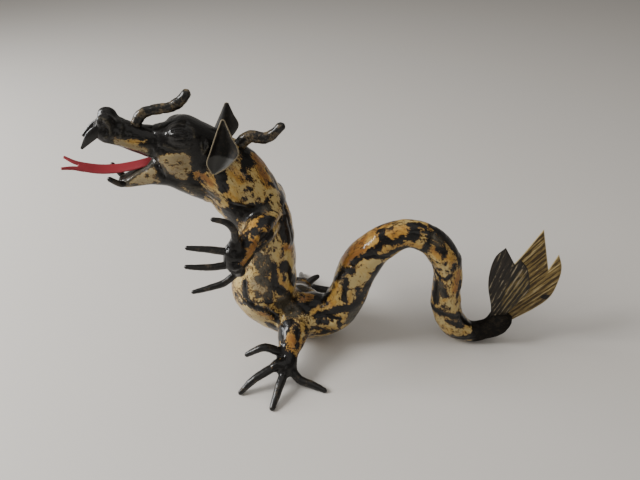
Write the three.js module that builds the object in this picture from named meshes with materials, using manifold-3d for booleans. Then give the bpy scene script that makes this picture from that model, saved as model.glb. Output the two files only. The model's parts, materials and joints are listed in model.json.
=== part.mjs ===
// A table-top dragon in acrylic: one modelled body with claws, horns, ears, teeth, a tongue and two tail fins
// set into it. Millimetres, +Z up. The head looks along -X, the dragon's left side is -Y, the tail ends at +X.
// It stands on the claws of its two feet and on the underside of its tail.
import * as THREE from "three";
import { LoftGeometry } from "three/addons/geometries/LoftGeometry.js";
import { mergeVertices } from "three/addons/utils/BufferGeometryUtils.js";
import Module from "manifold-3d";

// Driving dimensions. The pose is drawn on a grid that divides the dragon's height into GRID_COUNT steps,
// and the thickness of each form is a share of the height.
const HEIGHT = 177;
const GRID_COUNT = 177;

const NECK_RADIUS = 0.1102 * HEIGHT;
const CHEST_RADIUS = 0.1017 * HEIGHT;
const BREAST_RADIUS = 0.1243 * HEIGHT;
const BELLY_RADIUS = 0.0960 * HEIGHT;
const RISE_RADIUS = 0.0734 * HEIGHT;
const HUMP_RADIUS = 0.0542 * HEIGHT;
const TAIL_RADIUS = 0.0537 * HEIGHT;
const TAIL_TIP_RADIUS = 0.0424 * HEIGHT;
const TRUNK_WIDTH_SHARE = 0.87;

const SHOULDER_RADIUS = 0.0593 * HEIGHT;
const WRIST_RADIUS = 0.0311 * HEIGHT;
const HAND_RADIUS = 0.0316 * HEIGHT;
const THIGH_RADIUS = 0.0678 * HEIGHT;
const ANKLE_RADIUS = 0.0395 * HEIGHT;
const HAND_CLAW_RADIUS = 0.0119 * HEIGHT;
const FOOT_CLAW_RADIUS = 0.0158 * HEIGHT;
const CLAW_TIP_SHARE = 0.55;
const CLAW_ROOT_SHARE = 0.6;

const SNOUT_HORN_RADIUS = 0.0158 * HEIGHT;
const CREST_HORN_RADIUS = 0.0181 * HEIGHT;
const FANG_RADIUS = 0.0153 * HEIGHT;
const LOWER_TOOTH_RADIUS = 0.0102 * HEIGHT;
const TONGUE_WIDTH = 0.0395 * HEIGHT;
const TONGUE_THICKNESS = 1.4;
const EAR_THICKNESS = 1.1;
const FIN_THICKNESS = 1.3;

const SOCKET_DEPTH = 2.8;
const CLEARANCE = 0.3;

const HEAD_YAW = 21;
const HEAD_PITCH = 18;
const TONGUE_ROLL = 20;
const FIN_LEAN = 9;

// How finely the forms are divided.
const TRUNK_STEPS = 44;
const TRUNK_SIDES = 14;
const SKULL_STEPS = 15;
const SKULL_SIDES = 12;
const JAW_STEPS = 8;
const JAW_SIDES = 10;
const LIMB_SIDES = 8;
const LUMP_ROWS = 5;
const CLAW_STEPS = 5;
const CLAW_SIDES = 6;
const HORN_STEPS = 9;
const HORN_SIDES = 7;
const TONGUE_STEPS = 9;
const EAR_STEPS = 8;
const EAR_FOLDS = 4;
const FIN_CURVE_STEPS = 3;

// A bar's domed end: how far it stands out and how wide it is there, as shares of the radius.
const DOME_REACH = 0.42;
const DOME_WIDTH = 0.62;

const pose = HEIGHT / GRID_COUNT;
const wasm = await Module();
wasm.setup();

const paint = {
  body: new THREE.MeshStandardMaterial({ color: 0xc2a565, roughness: 0.25, metalness: 0 }),
  claw: new THREE.MeshStandardMaterial({ color: 0x1c1b1c, roughness: 0.4, metalness: 0 }),
  tongue: new THREE.MeshStandardMaterial({ color: 0xa5232c, roughness: 0.35, metalness: 0 }),
  ear: new THREE.MeshStandardMaterial({ color: 0x1a191a, roughness: 0.3, metalness: 0 }),
  fin: new THREE.MeshStandardMaterial({ color: 0x86693a, roughness: 0.35, metalness: 0 }),
};

// A place in the drawn pose.
function at(x, y, z) {
  return new THREE.Vector3(x, y, z).multiplyScalar(pose);
}

// Smooth values between evenly spaced ones, t from 0 to 1.
function between(values, t) {
  const curve = new THREE.SplineCurve(values.map((value, i) => new THREE.Vector2(i, value)));
  return curve.getPoint(t).y;
}

// A closed geometry as a solid for joining and cutting.
function solid(geometry) {
  const plain = new THREE.BufferGeometry();
  plain.setAttribute("position", geometry.getAttribute("position"));
  plain.setIndex(geometry.index);
  const merged = mergeVertices(plain, 1e-4);
  const mesh = new wasm.Mesh({
    numProp: 3,
    vertProperties: new Float32Array(merged.getAttribute("position").array),
    triVerts: new Uint32Array(merged.index.array),
  });
  return new wasm.Manifold(mesh);
}

// A solid back as a named mesh.
function piece(name, made, material) {
  const mesh = made.getMesh();
  const geometry = new THREE.BufferGeometry();
  geometry.setAttribute("position", new THREE.BufferAttribute(mesh.vertProperties, 3));
  geometry.setIndex(new THREE.BufferAttribute(mesh.triVerts, 1));
  geometry.computeVertexNormals();
  const result = new THREE.Mesh(geometry, material);
  result.name = name;
  return result;
}

// A ring of points around a place on a curve, wide along `across` and high square to it.
function ring(center, tangent, across, wide, high, sides) {
  const side = across.clone().addScaledVector(tangent, -across.dot(tangent)).normalize();
  const over = new THREE.Vector3().crossVectors(tangent, side);
  return Array.from({ length: sides }, (_, i) => {
    const angle = i * ((2 * Math.PI) / sides);
    return center
      .clone()
      .addScaledVector(side, wide * Math.cos(angle))
      .addScaledVector(over, high * Math.sin(angle));
  });
}

// A round bar along the points, as thick as the radii say, with domed ends.
// `flat` is its width as a share of its height, `grow` thickens it all round,
// `across` is its width's direction.
function bar(points, radii, options = {}) {
  const { steps = CLAW_STEPS, sides = CLAW_SIDES, flat = 1, grow = 0 } = options;
  const across = options.across ?? new THREE.Vector3(0, 0, 1);
  const curve = new THREE.CatmullRomCurve3(points, false, "catmullrom", 0.5);
  const rings = [];
  const place = (t, shift, share) => {
    const tangent = curve.getTangent(t);
    const radius = between(radii, t) + grow;
    const center = curve.getPoint(t).addScaledVector(tangent, shift * radius);
    const wide = (between(radii, t) * flat + grow) * share;
    rings.push(ring(center, tangent, across, wide, radius * share, sides));
  };
  place(0, -DOME_REACH, DOME_WIDTH);
  for (let i = 0; i <= steps; i += 1) place(i / steps, 0, 1);
  place(1, DOME_REACH, DOME_WIDTH);
  return solid(new LoftGeometry(rings, { closed: true, capStart: true, capEnd: true }));
}

// A ball stretched along the three axes of the drawn pose or, with a frame given, of that frame.
function lump([x, y, z], radii, frame = new THREE.Object3D()) {
  const ball = new THREE.SphereGeometry(1, LIMB_SIDES, LUMP_ROWS);
  ball.rotateX(Math.PI / 2);
  ball.scale(radii[0] * pose, radii[1] * pose, radii[2] * pose);
  ball.translate(x * pose, y * pose, z * pose);
  ball.applyMatrix4(frame.matrixWorld);
  return solid(ball);
}

// The same place on the other side of the body.
function mirrored(point) {
  return new THREE.Vector3(point.x, -point.y, point.z);
}

function joined(solids) {
  return solids.reduce((sum, next) => sum.add(next));
}

// The head's own frame: x backwards, z up, its origin at the back of the skull.
const head = new THREE.Object3D();
head.position.copy(at(-62, -3, 145));
head.rotation.set(0, THREE.MathUtils.degToRad(HEAD_PITCH), THREE.MathUtils.degToRad(HEAD_YAW), "ZYX");
head.updateMatrixWorld(true);

// The head's own sideways direction.
const lateral = new THREE.Vector3(0, 1, 0).transformDirection(head.matrixWorld);

function onHead(x, y, z) {
  return at(x, y, z).applyMatrix4(head.matrixWorld);
}

// A form of the head between drawn stations: x, top, bottom and half width.
function headForm(stations, steps, sides) {
  const column = (k) => stations.map((station) => station[k]);
  const forward = new THREE.Vector3(-1, 0, 0);
  const leftRight = new THREE.Vector3(0, 1, 0);
  const rings = [];
  for (let i = 0; i <= steps; i += 1) {
    const [x, top, bottom, half] = [0, 1, 2, 3].map((k) => between(column(k), i / steps));
    const center = at(x, 0, (top + bottom) / 2);
    rings.push(ring(center, forward, leftRight, half * pose, ((top - bottom) / 2) * pose, sides));
  }
  const form = new LoftGeometry(rings, { closed: true, capStart: true, capEnd: true });
  form.applyMatrix4(head.matrixWorld);
  return solid(form);
}

// The trunk's centre line, from inside the skull down the neck to the belly, over the hump and along the tail.
const trunkStations = [
  [-67, -5, 140, NECK_RADIUS * 0.75],
  [-54, -1.5, 129, NECK_RADIUS],
  [-43.2, 0, 112.4, NECK_RADIUS],
  [-35.8, 0, 97, CHEST_RADIUS],
  [-33.5, 0, 79, CHEST_RADIUS],
  [-35, 0, 60, CHEST_RADIUS * 1.08],
  [-37.5, 0, 42, BREAST_RADIUS],
  [-32.5, 0, 26.5, BREAST_RADIUS * 0.92],
  [-16, 0, 20, BELLY_RADIUS],
  [0, 0, 19.8, BELLY_RADIUS * 0.95],
  [11.5, 0, 26, RISE_RADIUS * 1.05],
  [18.5, 0, 41, RISE_RADIUS],
  [22.5, 0, 58, RISE_RADIUS],
  [29, 0, 72, RISE_RADIUS * 0.95],
  [39, 0, 84.5, HUMP_RADIUS * 1.15],
  [52.8, 1, 90.8, HUMP_RADIUS * 0.96],
  [66.8, 2, 86.8, HUMP_RADIUS * 0.94],
  [76.8, 3, 75, HUMP_RADIUS],
  [81.8, 4, 59, TAIL_RADIUS],
  [83, 5, 43, TAIL_RADIUS],
  [85.5, 6, 28.5, TAIL_RADIUS * 1.06],
  [93, 7, 14.5, TAIL_RADIUS],
  [104, 8, 7.5, TAIL_RADIUS * 0.92],
  [114.5, 8, 10.2, TAIL_TIP_RADIUS],
  [120.5, 8, 15.2, TAIL_TIP_RADIUS * 1.07],
  [123.5, 8, 22.5, TAIL_TIP_RADIUS * 1.12],
];

const trunkPoints = trunkStations.map(([x, y, z]) => at(x, y, z));
const trunkRadii = trunkStations.map((station) => station[3]);

function trunk() {
  return bar(trunkPoints, trunkRadii, {
    steps: TRUNK_STEPS,
    sides: TRUNK_SIDES,
    flat: TRUNK_WIDTH_SHARE,
    across: new THREE.Vector3(0, 1, 0),
  });
}

// Breast folds, shoulders and haunches that swell out of the trunk.
function muscles() {
  const swellings = [
    [[-49, -4, 45], [9, 11, 8]],
    [[-46, -4, 31], [8, 10, 7]],
    [[-40, 0, 121], [11, 12, 9]],
  ];
  for (const side of [-1, 1]) {
    swellings.push([[-33, side * 10, 103], [10, 7.5, 11]]);
    swellings.push([[-14, side * 10, 22], [14, 9, 12]]);
  }
  return swellings.map(([center, radii]) => lump(center, radii));
}

// The skull and upper jaw, then the lower jaw: x, top, bottom and half width in the head's frame.
const skullStations = [
  [12, 5, -18, 12],
  [3, 9.5, -18, 13.5],
  [-6, 12.4, -16, 13],
  [-15, 14, -14, 12],
  [-23, 8.5, -13, 10.5],
  [-31, 4.8, -12, 9],
  [-39, 4.2, -10.5, 8],
  [-47, 5.5, -9, 8],
  [-54, 5, -8, 7.5],
  [-58.5, 1, -5, 5],
];

const jawStations = [
  [6, -2, -34, 12],
  [-6, -5, -31, 12],
  [-16, -9, -27.5, 10.5],
  [-26, -13, -28, 8.5],
  [-33, -19, -30.5, 7],
  [-39, -24.5, -33, 5.8],
  [-43.5, -28, -32.5, 3.6],
];

const mouthStations = [
  [-14, -11, -15, 3.5],
  [-22, -11.5, -18, 5.5],
  [-30, -12.5, -24.5, 5.6],
  [-37, -11.5, -29, 4.6],
  [-41.5, -11.5, -29.5, 3],
  [-50, -14, -24, 3],
];

// Both jaws, and on each side the brow, the eye, the cheek and the nostril that swell out of them.
function skull() {
  const upper = headForm(skullStations, SKULL_STEPS, SKULL_SIDES);
  const lower = headForm(jawStations, JAW_STEPS, JAW_SIDES);
  const forms = [upper, lower];
  for (const side of [-1, 1]) {
    forms.push(lump([-14, side * 8, 5.4], [9.5, 6, 6], head));
    forms.push(lump([-14.5, side * 12, 7.2], [4.4, 2.4, 2.8], head));
    forms.push(lump([-16, side * 8, -8.5], [9.5, 5, 8.5], head));
    forms.push(lump([-52.5, side * 4.6, 4.2], [5, 3.8, 4.6], head));
  }
  return forms;
}

// Limbs on one side, -1 for the left and 1 for the right.
function arm(side) {
  const points = [at(-32, -6, 104), at(-32.5, -20, 101), at(-37, -31, 98), at(-41.5, -38, 96)];
  const placed = side < 0 ? points : points.map(mirrored);
  const radii = [SHOULDER_RADIUS, SHOULDER_RADIUS * 0.86, WRIST_RADIUS * 1.2, WRIST_RADIUS];
  return bar(placed, radii, { sides: LIMB_SIDES });
}

function hand(side) {
  const points = [at(-41, -38.5, 107), at(-43.2, -39.5, 99), at(-43.4, -39.5, 91), at(-41.2, -37.5, 84.5)];
  const placed = side < 0 ? points : points.map(mirrored);
  const radii = [HAND_RADIUS * 0.65, HAND_RADIUS, HAND_RADIUS, HAND_RADIUS * 0.65];
  return bar(placed, radii, { sides: LIMB_SIDES, across: new THREE.Vector3(1, 0, 0) });
}

function leg(side) {
  const points = [at(-16, -8, 24), at(-16.5, -19, 19.5), at(-17.3, -31, 14.5), at(-17.5, -40, 11)];
  const placed = side < 0 ? points : points.map(mirrored);
  const radii = [THIGH_RADIUS, THIGH_RADIUS * 0.86, ANKLE_RADIUS, ANKLE_RADIUS];
  return bar(placed, radii, { sides: LIMB_SIDES });
}

// Claws: the places that each runs through, from its root in the paw to its blunt tip, on the left side.
const handClaws = [
  [at(-41.2, -39.5, 107), at(-41.2, -41, 115), at(-44.2, -43, 120.6), at(-50.5, -46, 124.2)],
  [at(-44.5, -40.5, 99.9), at(-55, -44, 103.3), at(-66, -48, 106.5)],
  [at(-44.5, -40.5, 91.6), at(-56, -44, 91.3), at(-68.5, -48, 93.6)],
  [at(-42.5, -38.4, 84.6), at(-50, -42, 79), at(-59, -45, 76.8), at(-67.2, -48, 75.6)],
];

const footClaws = [
  [at(-21.5, -34.5, 17), at(-28, -36.5, 22.4), at(-33, -38.5, 24.4), at(-43, -41, 19.3)],
  [at(-23.6, -42.2, 12.9), at(-30, -46.5, 11.2), at(-37, -51, 8), at(-45, -56.5, 1.1)],
  [at(-18.4, -45.5, 9.2), at(-19.6, -51.5, 7.6), at(-21, -58.5, 4.6), at(-22.7, -66.5, 1.1)],
  [at(-13.2, -42, 9), at(-8, -45, 5), at(0, -46.6, 3), at(9, -48.9, 1.1)],
];

// Two claws of the right side are bent another way: the first of the hand lower, the first of the foot back.
const rightThumb = [at(-41.5, 39.5, 106), at(-43.5, 41, 112), at(-48, 42.5, 114.5), at(-55, 43, 114)];
const rightDewclaw = [at(-14, 36, 15.5), at(-10.5, 40, 17.3), at(-5.5, 44.5, 18)];
const otherSide = (claws) => claws.map((points) => points.map(mirrored));
const rightHandClaws = [rightThumb, ...otherSide(handClaws.slice(1))];
const rightFootClaws = [rightDewclaw, ...otherSide(footClaws.slice(1))];

function clawRoot(points) {
  const direction = points[0].clone().sub(points[1]).normalize();
  return [points[0].clone().addScaledVector(direction, SOCKET_DEPTH), ...points];
}

function claw(points, radius, grow) {
  const last = points.length;
  const taper = (i) => radius * (1 - (1 - CLAW_TIP_SHARE) * (i / last) ** 1.5);
  const radii = Array.from({ length: last + 1 }, (_, i) => (i === 0 ? radius * CLAW_ROOT_SHARE : taper(i)));
  return bar(clawRoot(points), radii, { grow, across: new THREE.Vector3(0.2, 0.3, 1) });
}

function horn(points, radius, grow) {
  const radii = points.map((_, i) => radius * (1 - 0.22 * (i / (points.length - 1))));
  return bar(points, radii, { steps: HORN_STEPS, sides: HORN_SIDES, grow, across: new THREE.Vector3(0, 1, 0) });
}

const snoutHornPoints = [
  onHead(-39, 0, 1),
  onHead(-36.5, 0, 9.5),
  onHead(-30, 0, 14),
  onHead(-24, 0, 16.3),
  onHead(-19, 0, 20.5),
  onHead(-15.7, 0, 27),
];

const crestHornPoints = [
  at(-50, 0.5, 137),
  at(-45, 0, 144.5),
  at(-38.7, 0, 149.6),
  at(-30.5, 0.5, 149),
  at(-25, 1.5, 152),
  at(-20.8, 2, 156.3),
];

function fang(side, grow) {
  const tip = side < 0 ? onHead(-62.4, -5, -12.2) : onHead(-63, 5, -9.5);
  const points = [onHead(-55, side * 5, 0), onHead(-58.5, side * 5.4, -4.4), tip];
  return bar(points, [FANG_RADIUS, FANG_RADIUS, FANG_RADIUS * 0.28], { flat: 0.5, grow, across: lateral });
}

function lowerTooth(side, grow) {
  const bend = side < 0 ? onHead(-43, -5.4, -29.2) : onHead(-43, 5.4, -28.2);
  const tip = side < 0 ? onHead(-48.5, -6.4, -26.6) : onHead(-48, 6, -23.5);
  const radii = [LOWER_TOOTH_RADIUS, LOWER_TOOTH_RADIUS, LOWER_TOOTH_RADIUS * 0.75];
  return bar([onHead(-40, side * 4, -29.5), bend, tip], radii, { grow });
}

// A strip's section with thin side edges, as shares of its half width and half thickness.
const stripSection = [[1, 0], [0.85, 1], [-0.85, 1], [-1, 0], [-0.85, -1], [0.85, -1]];

// A strip along the points, as wide as the widths say.
function strip(points, widths, across, steps, grow) {
  const curve = new THREE.CatmullRomCurve3(points, false, "catmullrom", 0.5);
  const high = TONGUE_THICKNESS / 2 + grow;
  const rings = [];
  for (let i = 0; i <= steps; i += 1) {
    const t = i / steps;
    const tangent = curve.getTangent(t);
    const side = across.clone().addScaledVector(tangent, -across.dot(tangent)).normalize();
    const over = new THREE.Vector3().crossVectors(tangent, side);
    const wide = between(widths, t) / 2 + grow;
    const corner = ([a, b]) =>
      curve.getPoint(t).addScaledVector(side, a * wide).addScaledVector(over, b * high);
    rings.push(stripSection.map(corner));
  }
  return solid(new LoftGeometry(rings, { closed: true, capStart: true, capEnd: true }));
}

// The forked tongue: one strip out of the throat, then two tapering points.
function tongue(grow) {
  const roll = THREE.MathUtils.degToRad(TONGUE_ROLL);
  const across = new THREE.Vector3(0, Math.cos(roll), Math.sin(roll)).transformDirection(head.matrixWorld);
  const middle = [
    onHead(-9.5, 0, -12.4),
    onHead(-22, 0, -13),
    onHead(-29, 0, -15.6),
    onHead(-36, 0, -19.3),
    onHead(-45, 0, -23),
    onHead(-54, 0, -25),
    onHead(-64, 0, -25.2),
  ];
  const stemWidths = [0.79, 0.86, 0.91, 0.97, 1, 1, 0.94].map((share) => share * TONGUE_WIDTH);
  const prongWidths = [0.46, 0.36, 0.2].map((share) => share * TONGUE_WIDTH);
  const stem = strip(middle, stemWidths, across, TONGUE_STEPS, grow);
  const prongs = [-1, 1].map((side) => {
    const along = (x, spread, z) =>
      onHead(x, 0, z).addScaledVector(across, side * spread * TONGUE_WIDTH);
    const points = [along(-61, 0.25, -25.3), along(-66, 0.32, -25), along(-71.5, 0.62, -24.6)];
    return strip(points, prongWidths, across, CLAW_STEPS, grow);
  });
  return joined([stem, ...prongs]);
}

// A closed thin sheet from two grids of places, its inner and its outer face: rows by columns.
function sheetBetween(inner, outer) {
  const rows = inner.length;
  const columns = inner[0].length;
  const places = [...inner.flat(), ...outer.flat()];
  const index = (face, row, column) => face * rows * columns + row * columns + column;
  const faces = [];
  const quad = (a, b, c, d) => faces.push(a, b, c, a, c, d);
  for (let i = 0; i < rows - 1; i += 1) {
    for (let k = 0; k < columns - 1; k += 1) {
      quad(index(0, i, k), index(0, i, k + 1), index(0, i + 1, k + 1), index(0, i + 1, k));
      quad(index(1, i, k), index(1, i + 1, k), index(1, i + 1, k + 1), index(1, i, k + 1));
    }
    quad(index(0, i, 0), index(0, i + 1, 0), index(1, i + 1, 0), index(1, i, 0));
    const last = columns - 1;
    quad(index(0, i, last), index(1, i, last), index(1, i + 1, last), index(0, i + 1, last));
  }
  for (let k = 0; k < columns - 1; k += 1) {
    const end = rows - 1;
    quad(index(0, 0, k), index(1, 0, k), index(1, 0, k + 1), index(0, 0, k + 1));
    quad(index(0, end, k), index(0, end, k + 1), index(1, end, k + 1), index(1, end, k));
  }
  const geometry = new THREE.BufferGeometry().setFromPoints(places);
  geometry.setIndex(faces);
  return solid(geometry);
}

// An ear: a pointed leaf of thin sheet, cupped about the line down its middle and open outwards.
// Each of its three long lines runs from the lower tip to the upper one: front rim, valley, back rim.
const earLines = [
  [[2, -18.2, -8.6], [-1.5, -17.5, -3.5], [-0.8, -16.4, 3], [0.4, -14.6, 12], [1.6, -14, 20.2]],
  [[3, -17.6, -9], [3.4, -13, -4.5], [4.4, -10.4, 4], [4.2, -11.4, 12], [2.5, -13.6, 20.8]],
  [[4, -18.4, -8.6], [9.5, -19.4, -2.5], [13.2, -20, 6.5], [8, -17, 14], [3.4, -14.2, 20.4]],
];

const rightEarShift = new THREE.Vector3(4.6, 1.4, 1.2);

function ear(side, grow) {
  const shift = side < 0 ? new THREE.Vector3() : rightEarShift;
  const lines = earLines.map((line) => {
    const places = line.map(([x, y, z]) => onHead(x + shift.x, -side * (y + shift.y), z + shift.z));
    return new THREE.CatmullRomCurve3(places, false, "catmullrom", 0.5);
  });
  const half = EAR_THICKNESS / 2 + grow;
  const inner = [];
  const outer = [];
  for (let i = 0; i <= EAR_STEPS; i += 1) {
    const [front, valley, back] = lines.map((line) => line.getPoint(i / EAR_STEPS));
    const bend = valley.multiplyScalar(1.6).addScaledVector(front, -0.3).addScaledVector(back, -0.3);
    const arc = new THREE.QuadraticBezierCurve3(front, bend, back);
    const along = lines[1].getTangent(i / EAR_STEPS);
    const face = (sign) =>
      Array.from({ length: EAR_FOLDS + 1 }, (_, k) => {
        const normal = new THREE.Vector3().crossVectors(arc.getTangent(k / EAR_FOLDS), along).normalize();
        return arc.getPoint(k / EAR_FOLDS).addScaledVector(normal, sign * half);
      });
    inner.push(face(1));
    outer.push(face(-1));
  }
  return sheetBetween(inner, outer);
}

// The tail fins: flat leaves with a notched edge, each with its foot in the end of the tail.
// Outlines are x and z in the leaf's own plane, from its foot, up the rear edge and down the front one.
const finDrawings = {
  left: {
    foot: at(120, 6.5, 22),
    lean: FIN_LEAN,
    rear: [[4, -3], [6, 8], [9.5, 19], [13, 31], [10.8, 41], [6.7, 51.2], [0.8, 58.2]],
    notch: [-0.9, 53.1],
    front: [[-9.5, 67], [-13.6, 59], [-14.2, 46], [-12, 31], [-6, 11], [-4, -3]],
  },
  right: {
    foot: at(124, 9.5, 20),
    lean: -FIN_LEAN,
    rear: [[4, -3], [8.5, 0.5], [21, 10.8], [28.6, 20.6], [31.2, 34.2], [30.6, 43.1], [27.2, 51.3]],
    notch: [23.1, 39.6],
    front: [[14.5, 68], [4.3, 47.8], [-2, 36], [-3, 20], [-4, -3]],
  },
};

// The outline's points, moved outwards by `grow`.
function finOutline(drawing, grow) {
  const spot = ([x, z]) => new THREE.Vector2(x * pose, z * pose);
  const shape = new THREE.Shape();
  shape.moveTo(...spot(drawing.rear[0]).toArray());
  shape.splineThru(drawing.rear.slice(1).map(spot));
  shape.lineTo(...spot(drawing.notch).toArray());
  shape.lineTo(...spot(drawing.front[0]).toArray());
  shape.splineThru(drawing.front.slice(1).map(spot));
  const points = shape.getPoints(FIN_CURVE_STEPS);
  const moved = points.map((point, i) => {
    const before = points.at(i - 1);
    const after = points[(i + 1) % points.length];
    const along = after.clone().sub(before).normalize();
    return new THREE.Vector2(point.x + along.y * grow, point.y - along.x * grow);
  });
  return new THREE.Shape(moved);
}

function fin(drawing, grow) {
  const thickness = FIN_THICKNESS + 2 * grow;
  const sheet = new THREE.ExtrudeGeometry(finOutline(drawing, grow), { depth: thickness, bevelEnabled: false });
  sheet.translate(0, 0, -thickness / 2);
  sheet.rotateX(Math.PI / 2 + THREE.MathUtils.degToRad(drawing.lean));
  sheet.translate(drawing.foot.x, drawing.foot.y, drawing.foot.z);
  return solid(sheet);
}

// What stands under the floor is cut away, so that the tail and the claw tips rest flat.
function underFloor() {
  const block = new THREE.BoxGeometry(2 * HEIGHT, 2 * HEIGHT, HEIGHT);
  block.translate(0, 0, -HEIGHT / 2);
  return solid(block);
}

// Every piece that is set into the body: its name, its paint and how it is made with some extra all round.
// An ear's slot takes in the hollow of its cup, so that no chip of the body is left standing in it.
const inserts = [
  ["tongue", paint.tongue, tongue],
  ["snout_horn", paint.claw, (grow) => horn(snoutHornPoints, SNOUT_HORN_RADIUS, grow)],
  ["crest_horn", paint.claw, (grow) => horn(crestHornPoints, CREST_HORN_RADIUS, grow)],
];

for (const [word, side] of [["left", -1], ["right", 1]]) {
  inserts.push([`${word}_ear`, paint.ear, (grow) => ear(side, grow), (slot) => slot.hull()]);
  inserts.push([`${word}_tail_fin`, paint.fin, (grow) => fin(finDrawings[word], grow)]);
  inserts.push([`${word}_fang`, paint.claw, (grow) => fang(side, grow)]);
  inserts.push([`${word}_lower_tooth`, paint.claw, (grow) => lowerTooth(side, grow)]);
  const [hands, feet] = side < 0 ? [handClaws, footClaws] : [rightHandClaws, rightFootClaws];
  hands.forEach((points, i) => {
    const make = (grow) => claw(points, HAND_CLAW_RADIUS, grow);
    inserts.push([`${word}_hand_claw_${i + 1}`, paint.claw, make]);
  });
  feet.forEach((points, i) => {
    const make = (grow) => claw(points, FOOT_CLAW_RADIUS, grow);
    inserts.push([`${word}_foot_claw_${i + 1}`, paint.claw, make]);
  });
}

const floor = underFloor();
let body = joined([trunk(), ...muscles(), ...skull()]);
for (const side of [-1, 1]) {
  body = joined([body, arm(side), hand(side), leg(side)]);
}
body = body.subtract(headForm(mouthStations, JAW_STEPS, JAW_SIDES));

const dragon = new THREE.Group();
for (const [name, material, make, widen = (slot) => slot] of inserts) {
  body = body.subtract(widen(make(CLEARANCE)));
  dragon.add(piece(name, make(0).subtract(floor), material));
}
dragon.add(piece("body", body.subtract(floor), paint.body));

// The part's own frame: its origin is under the middle of the whole, on the surface that it stands on.
const box = new THREE.Box3().setFromObject(dragon);
const center = box.getCenter(new THREE.Vector3());
dragon.position.set(-center.x, -center.y, -box.min.z);

export default dragon;
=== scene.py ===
# %% [markdown]
# # A table-top dragon in marbled acrylic
# The real dragon is shaped by hand from warm acrylic sheet and paste, painted, and varnished until it shines.
# Its body is one long form; claws, horns, teeth, ears, tail leaves and a red tongue are set into it.
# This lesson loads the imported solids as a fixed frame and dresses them: first the body's skin with its carving,
# then the small pieces, then the paint.

# %% Load the frame
import json
import math

import bmesh
import bpy
import numpy as np
from mathutils import Matrix, Vector

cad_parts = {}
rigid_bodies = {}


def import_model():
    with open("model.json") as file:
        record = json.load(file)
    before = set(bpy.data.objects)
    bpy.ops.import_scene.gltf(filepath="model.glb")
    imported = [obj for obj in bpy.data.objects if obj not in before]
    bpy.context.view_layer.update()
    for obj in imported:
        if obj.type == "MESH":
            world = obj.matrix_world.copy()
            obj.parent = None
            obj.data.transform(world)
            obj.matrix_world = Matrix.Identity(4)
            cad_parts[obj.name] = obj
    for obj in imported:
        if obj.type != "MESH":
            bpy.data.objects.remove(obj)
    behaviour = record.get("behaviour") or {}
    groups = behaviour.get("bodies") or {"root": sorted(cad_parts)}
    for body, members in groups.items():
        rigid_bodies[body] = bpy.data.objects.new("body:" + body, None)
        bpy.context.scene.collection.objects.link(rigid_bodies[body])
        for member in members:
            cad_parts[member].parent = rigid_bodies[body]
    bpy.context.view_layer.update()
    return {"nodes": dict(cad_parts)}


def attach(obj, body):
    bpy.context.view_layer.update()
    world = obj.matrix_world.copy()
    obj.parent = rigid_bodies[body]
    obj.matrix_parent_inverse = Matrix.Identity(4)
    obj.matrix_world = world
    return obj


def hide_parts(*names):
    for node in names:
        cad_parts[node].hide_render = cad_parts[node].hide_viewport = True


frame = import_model()
MM = 0.001
print("nodes:", len(frame["nodes"]))

# %% [markdown]
# ## Camera, floor and light
# The dragon is seen from its left and from well above, as someone standing at a table sees it.
# A lens of 28 mm close by gives the strong perspective: the near claws look larger than the far ones.

# %% Place the camera
CAMERA_PLACE = (0.0159, -0.2525, 0.2608)
CAMERA_DOWN = 35.0
CAMERA_RIGHT = 6.0
LENS = 28.125

camera_data = bpy.data.cameras.new("camera")
camera_data.lens = LENS
camera_data.sensor_width = 36.0
camera_data.clip_start = 0.01
camera = bpy.data.objects.new("camera", camera_data)
camera.location = CAMERA_PLACE
camera.rotation_euler = (math.radians(90 - CAMERA_DOWN), 0, math.radians(CAMERA_RIGHT))
bpy.context.scene.collection.objects.link(camera)
bpy.context.scene.camera = camera
print("camera at", CAMERA_PLACE)

# %% [markdown]
# A large soft window on the upper left gives the glints on the varnish and the soft shadows to the right.
# A weaker panel from the front right and a dim warm surround keep the black paint readable.

# %% Make the floor and the lights
FLOOR_SIZE = 6.0


def simple_shader(name):
    """A material with its Principled shader, ready for values."""
    material = bpy.data.materials.new(name)
    material.use_nodes = True
    return material, material.node_tree.nodes["Principled BSDF"]


def plain_mesh(name, points, faces, smooth=True):
    """A mesh object at the origin with its place in its points."""
    mesh = bpy.data.meshes.new(name)
    mesh.from_pydata([tuple(p) for p in points], [], [tuple(f) for f in faces])
    mesh.update()
    if smooth:
        mesh.shade_smooth()
    made = bpy.data.objects.new(name, mesh)
    bpy.context.scene.collection.objects.link(made)
    return made


half = FLOOR_SIZE / 2
floor = plain_mesh("floor", [(-half, -half, 0), (half, -half, 0), (half, half, 0), (-half, half, 0)], [(0, 1, 2, 3)], False)
floor_paint, floor_shader = simple_shader("pale_floor")
floor_shader.inputs["Base Color"].default_value = (0.60, 0.575, 0.54, 1)
floor_shader.inputs["Roughness"].default_value = 0.6
floor.data.materials.append(floor_paint)


def soft_panel(name, place, target, size, watts, color):
    data = bpy.data.lights.new(name, "AREA")
    data.shape = "RECTANGLE"
    data.size, data.size_y = size
    data.energy = watts
    data.color = color
    made = bpy.data.objects.new(name, data)
    made.location = place
    made.rotation_euler = (Vector(target) - Vector(place)).to_track_quat("-Z", "Y").to_euler()
    bpy.context.scene.collection.objects.link(made)
    return made


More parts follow.
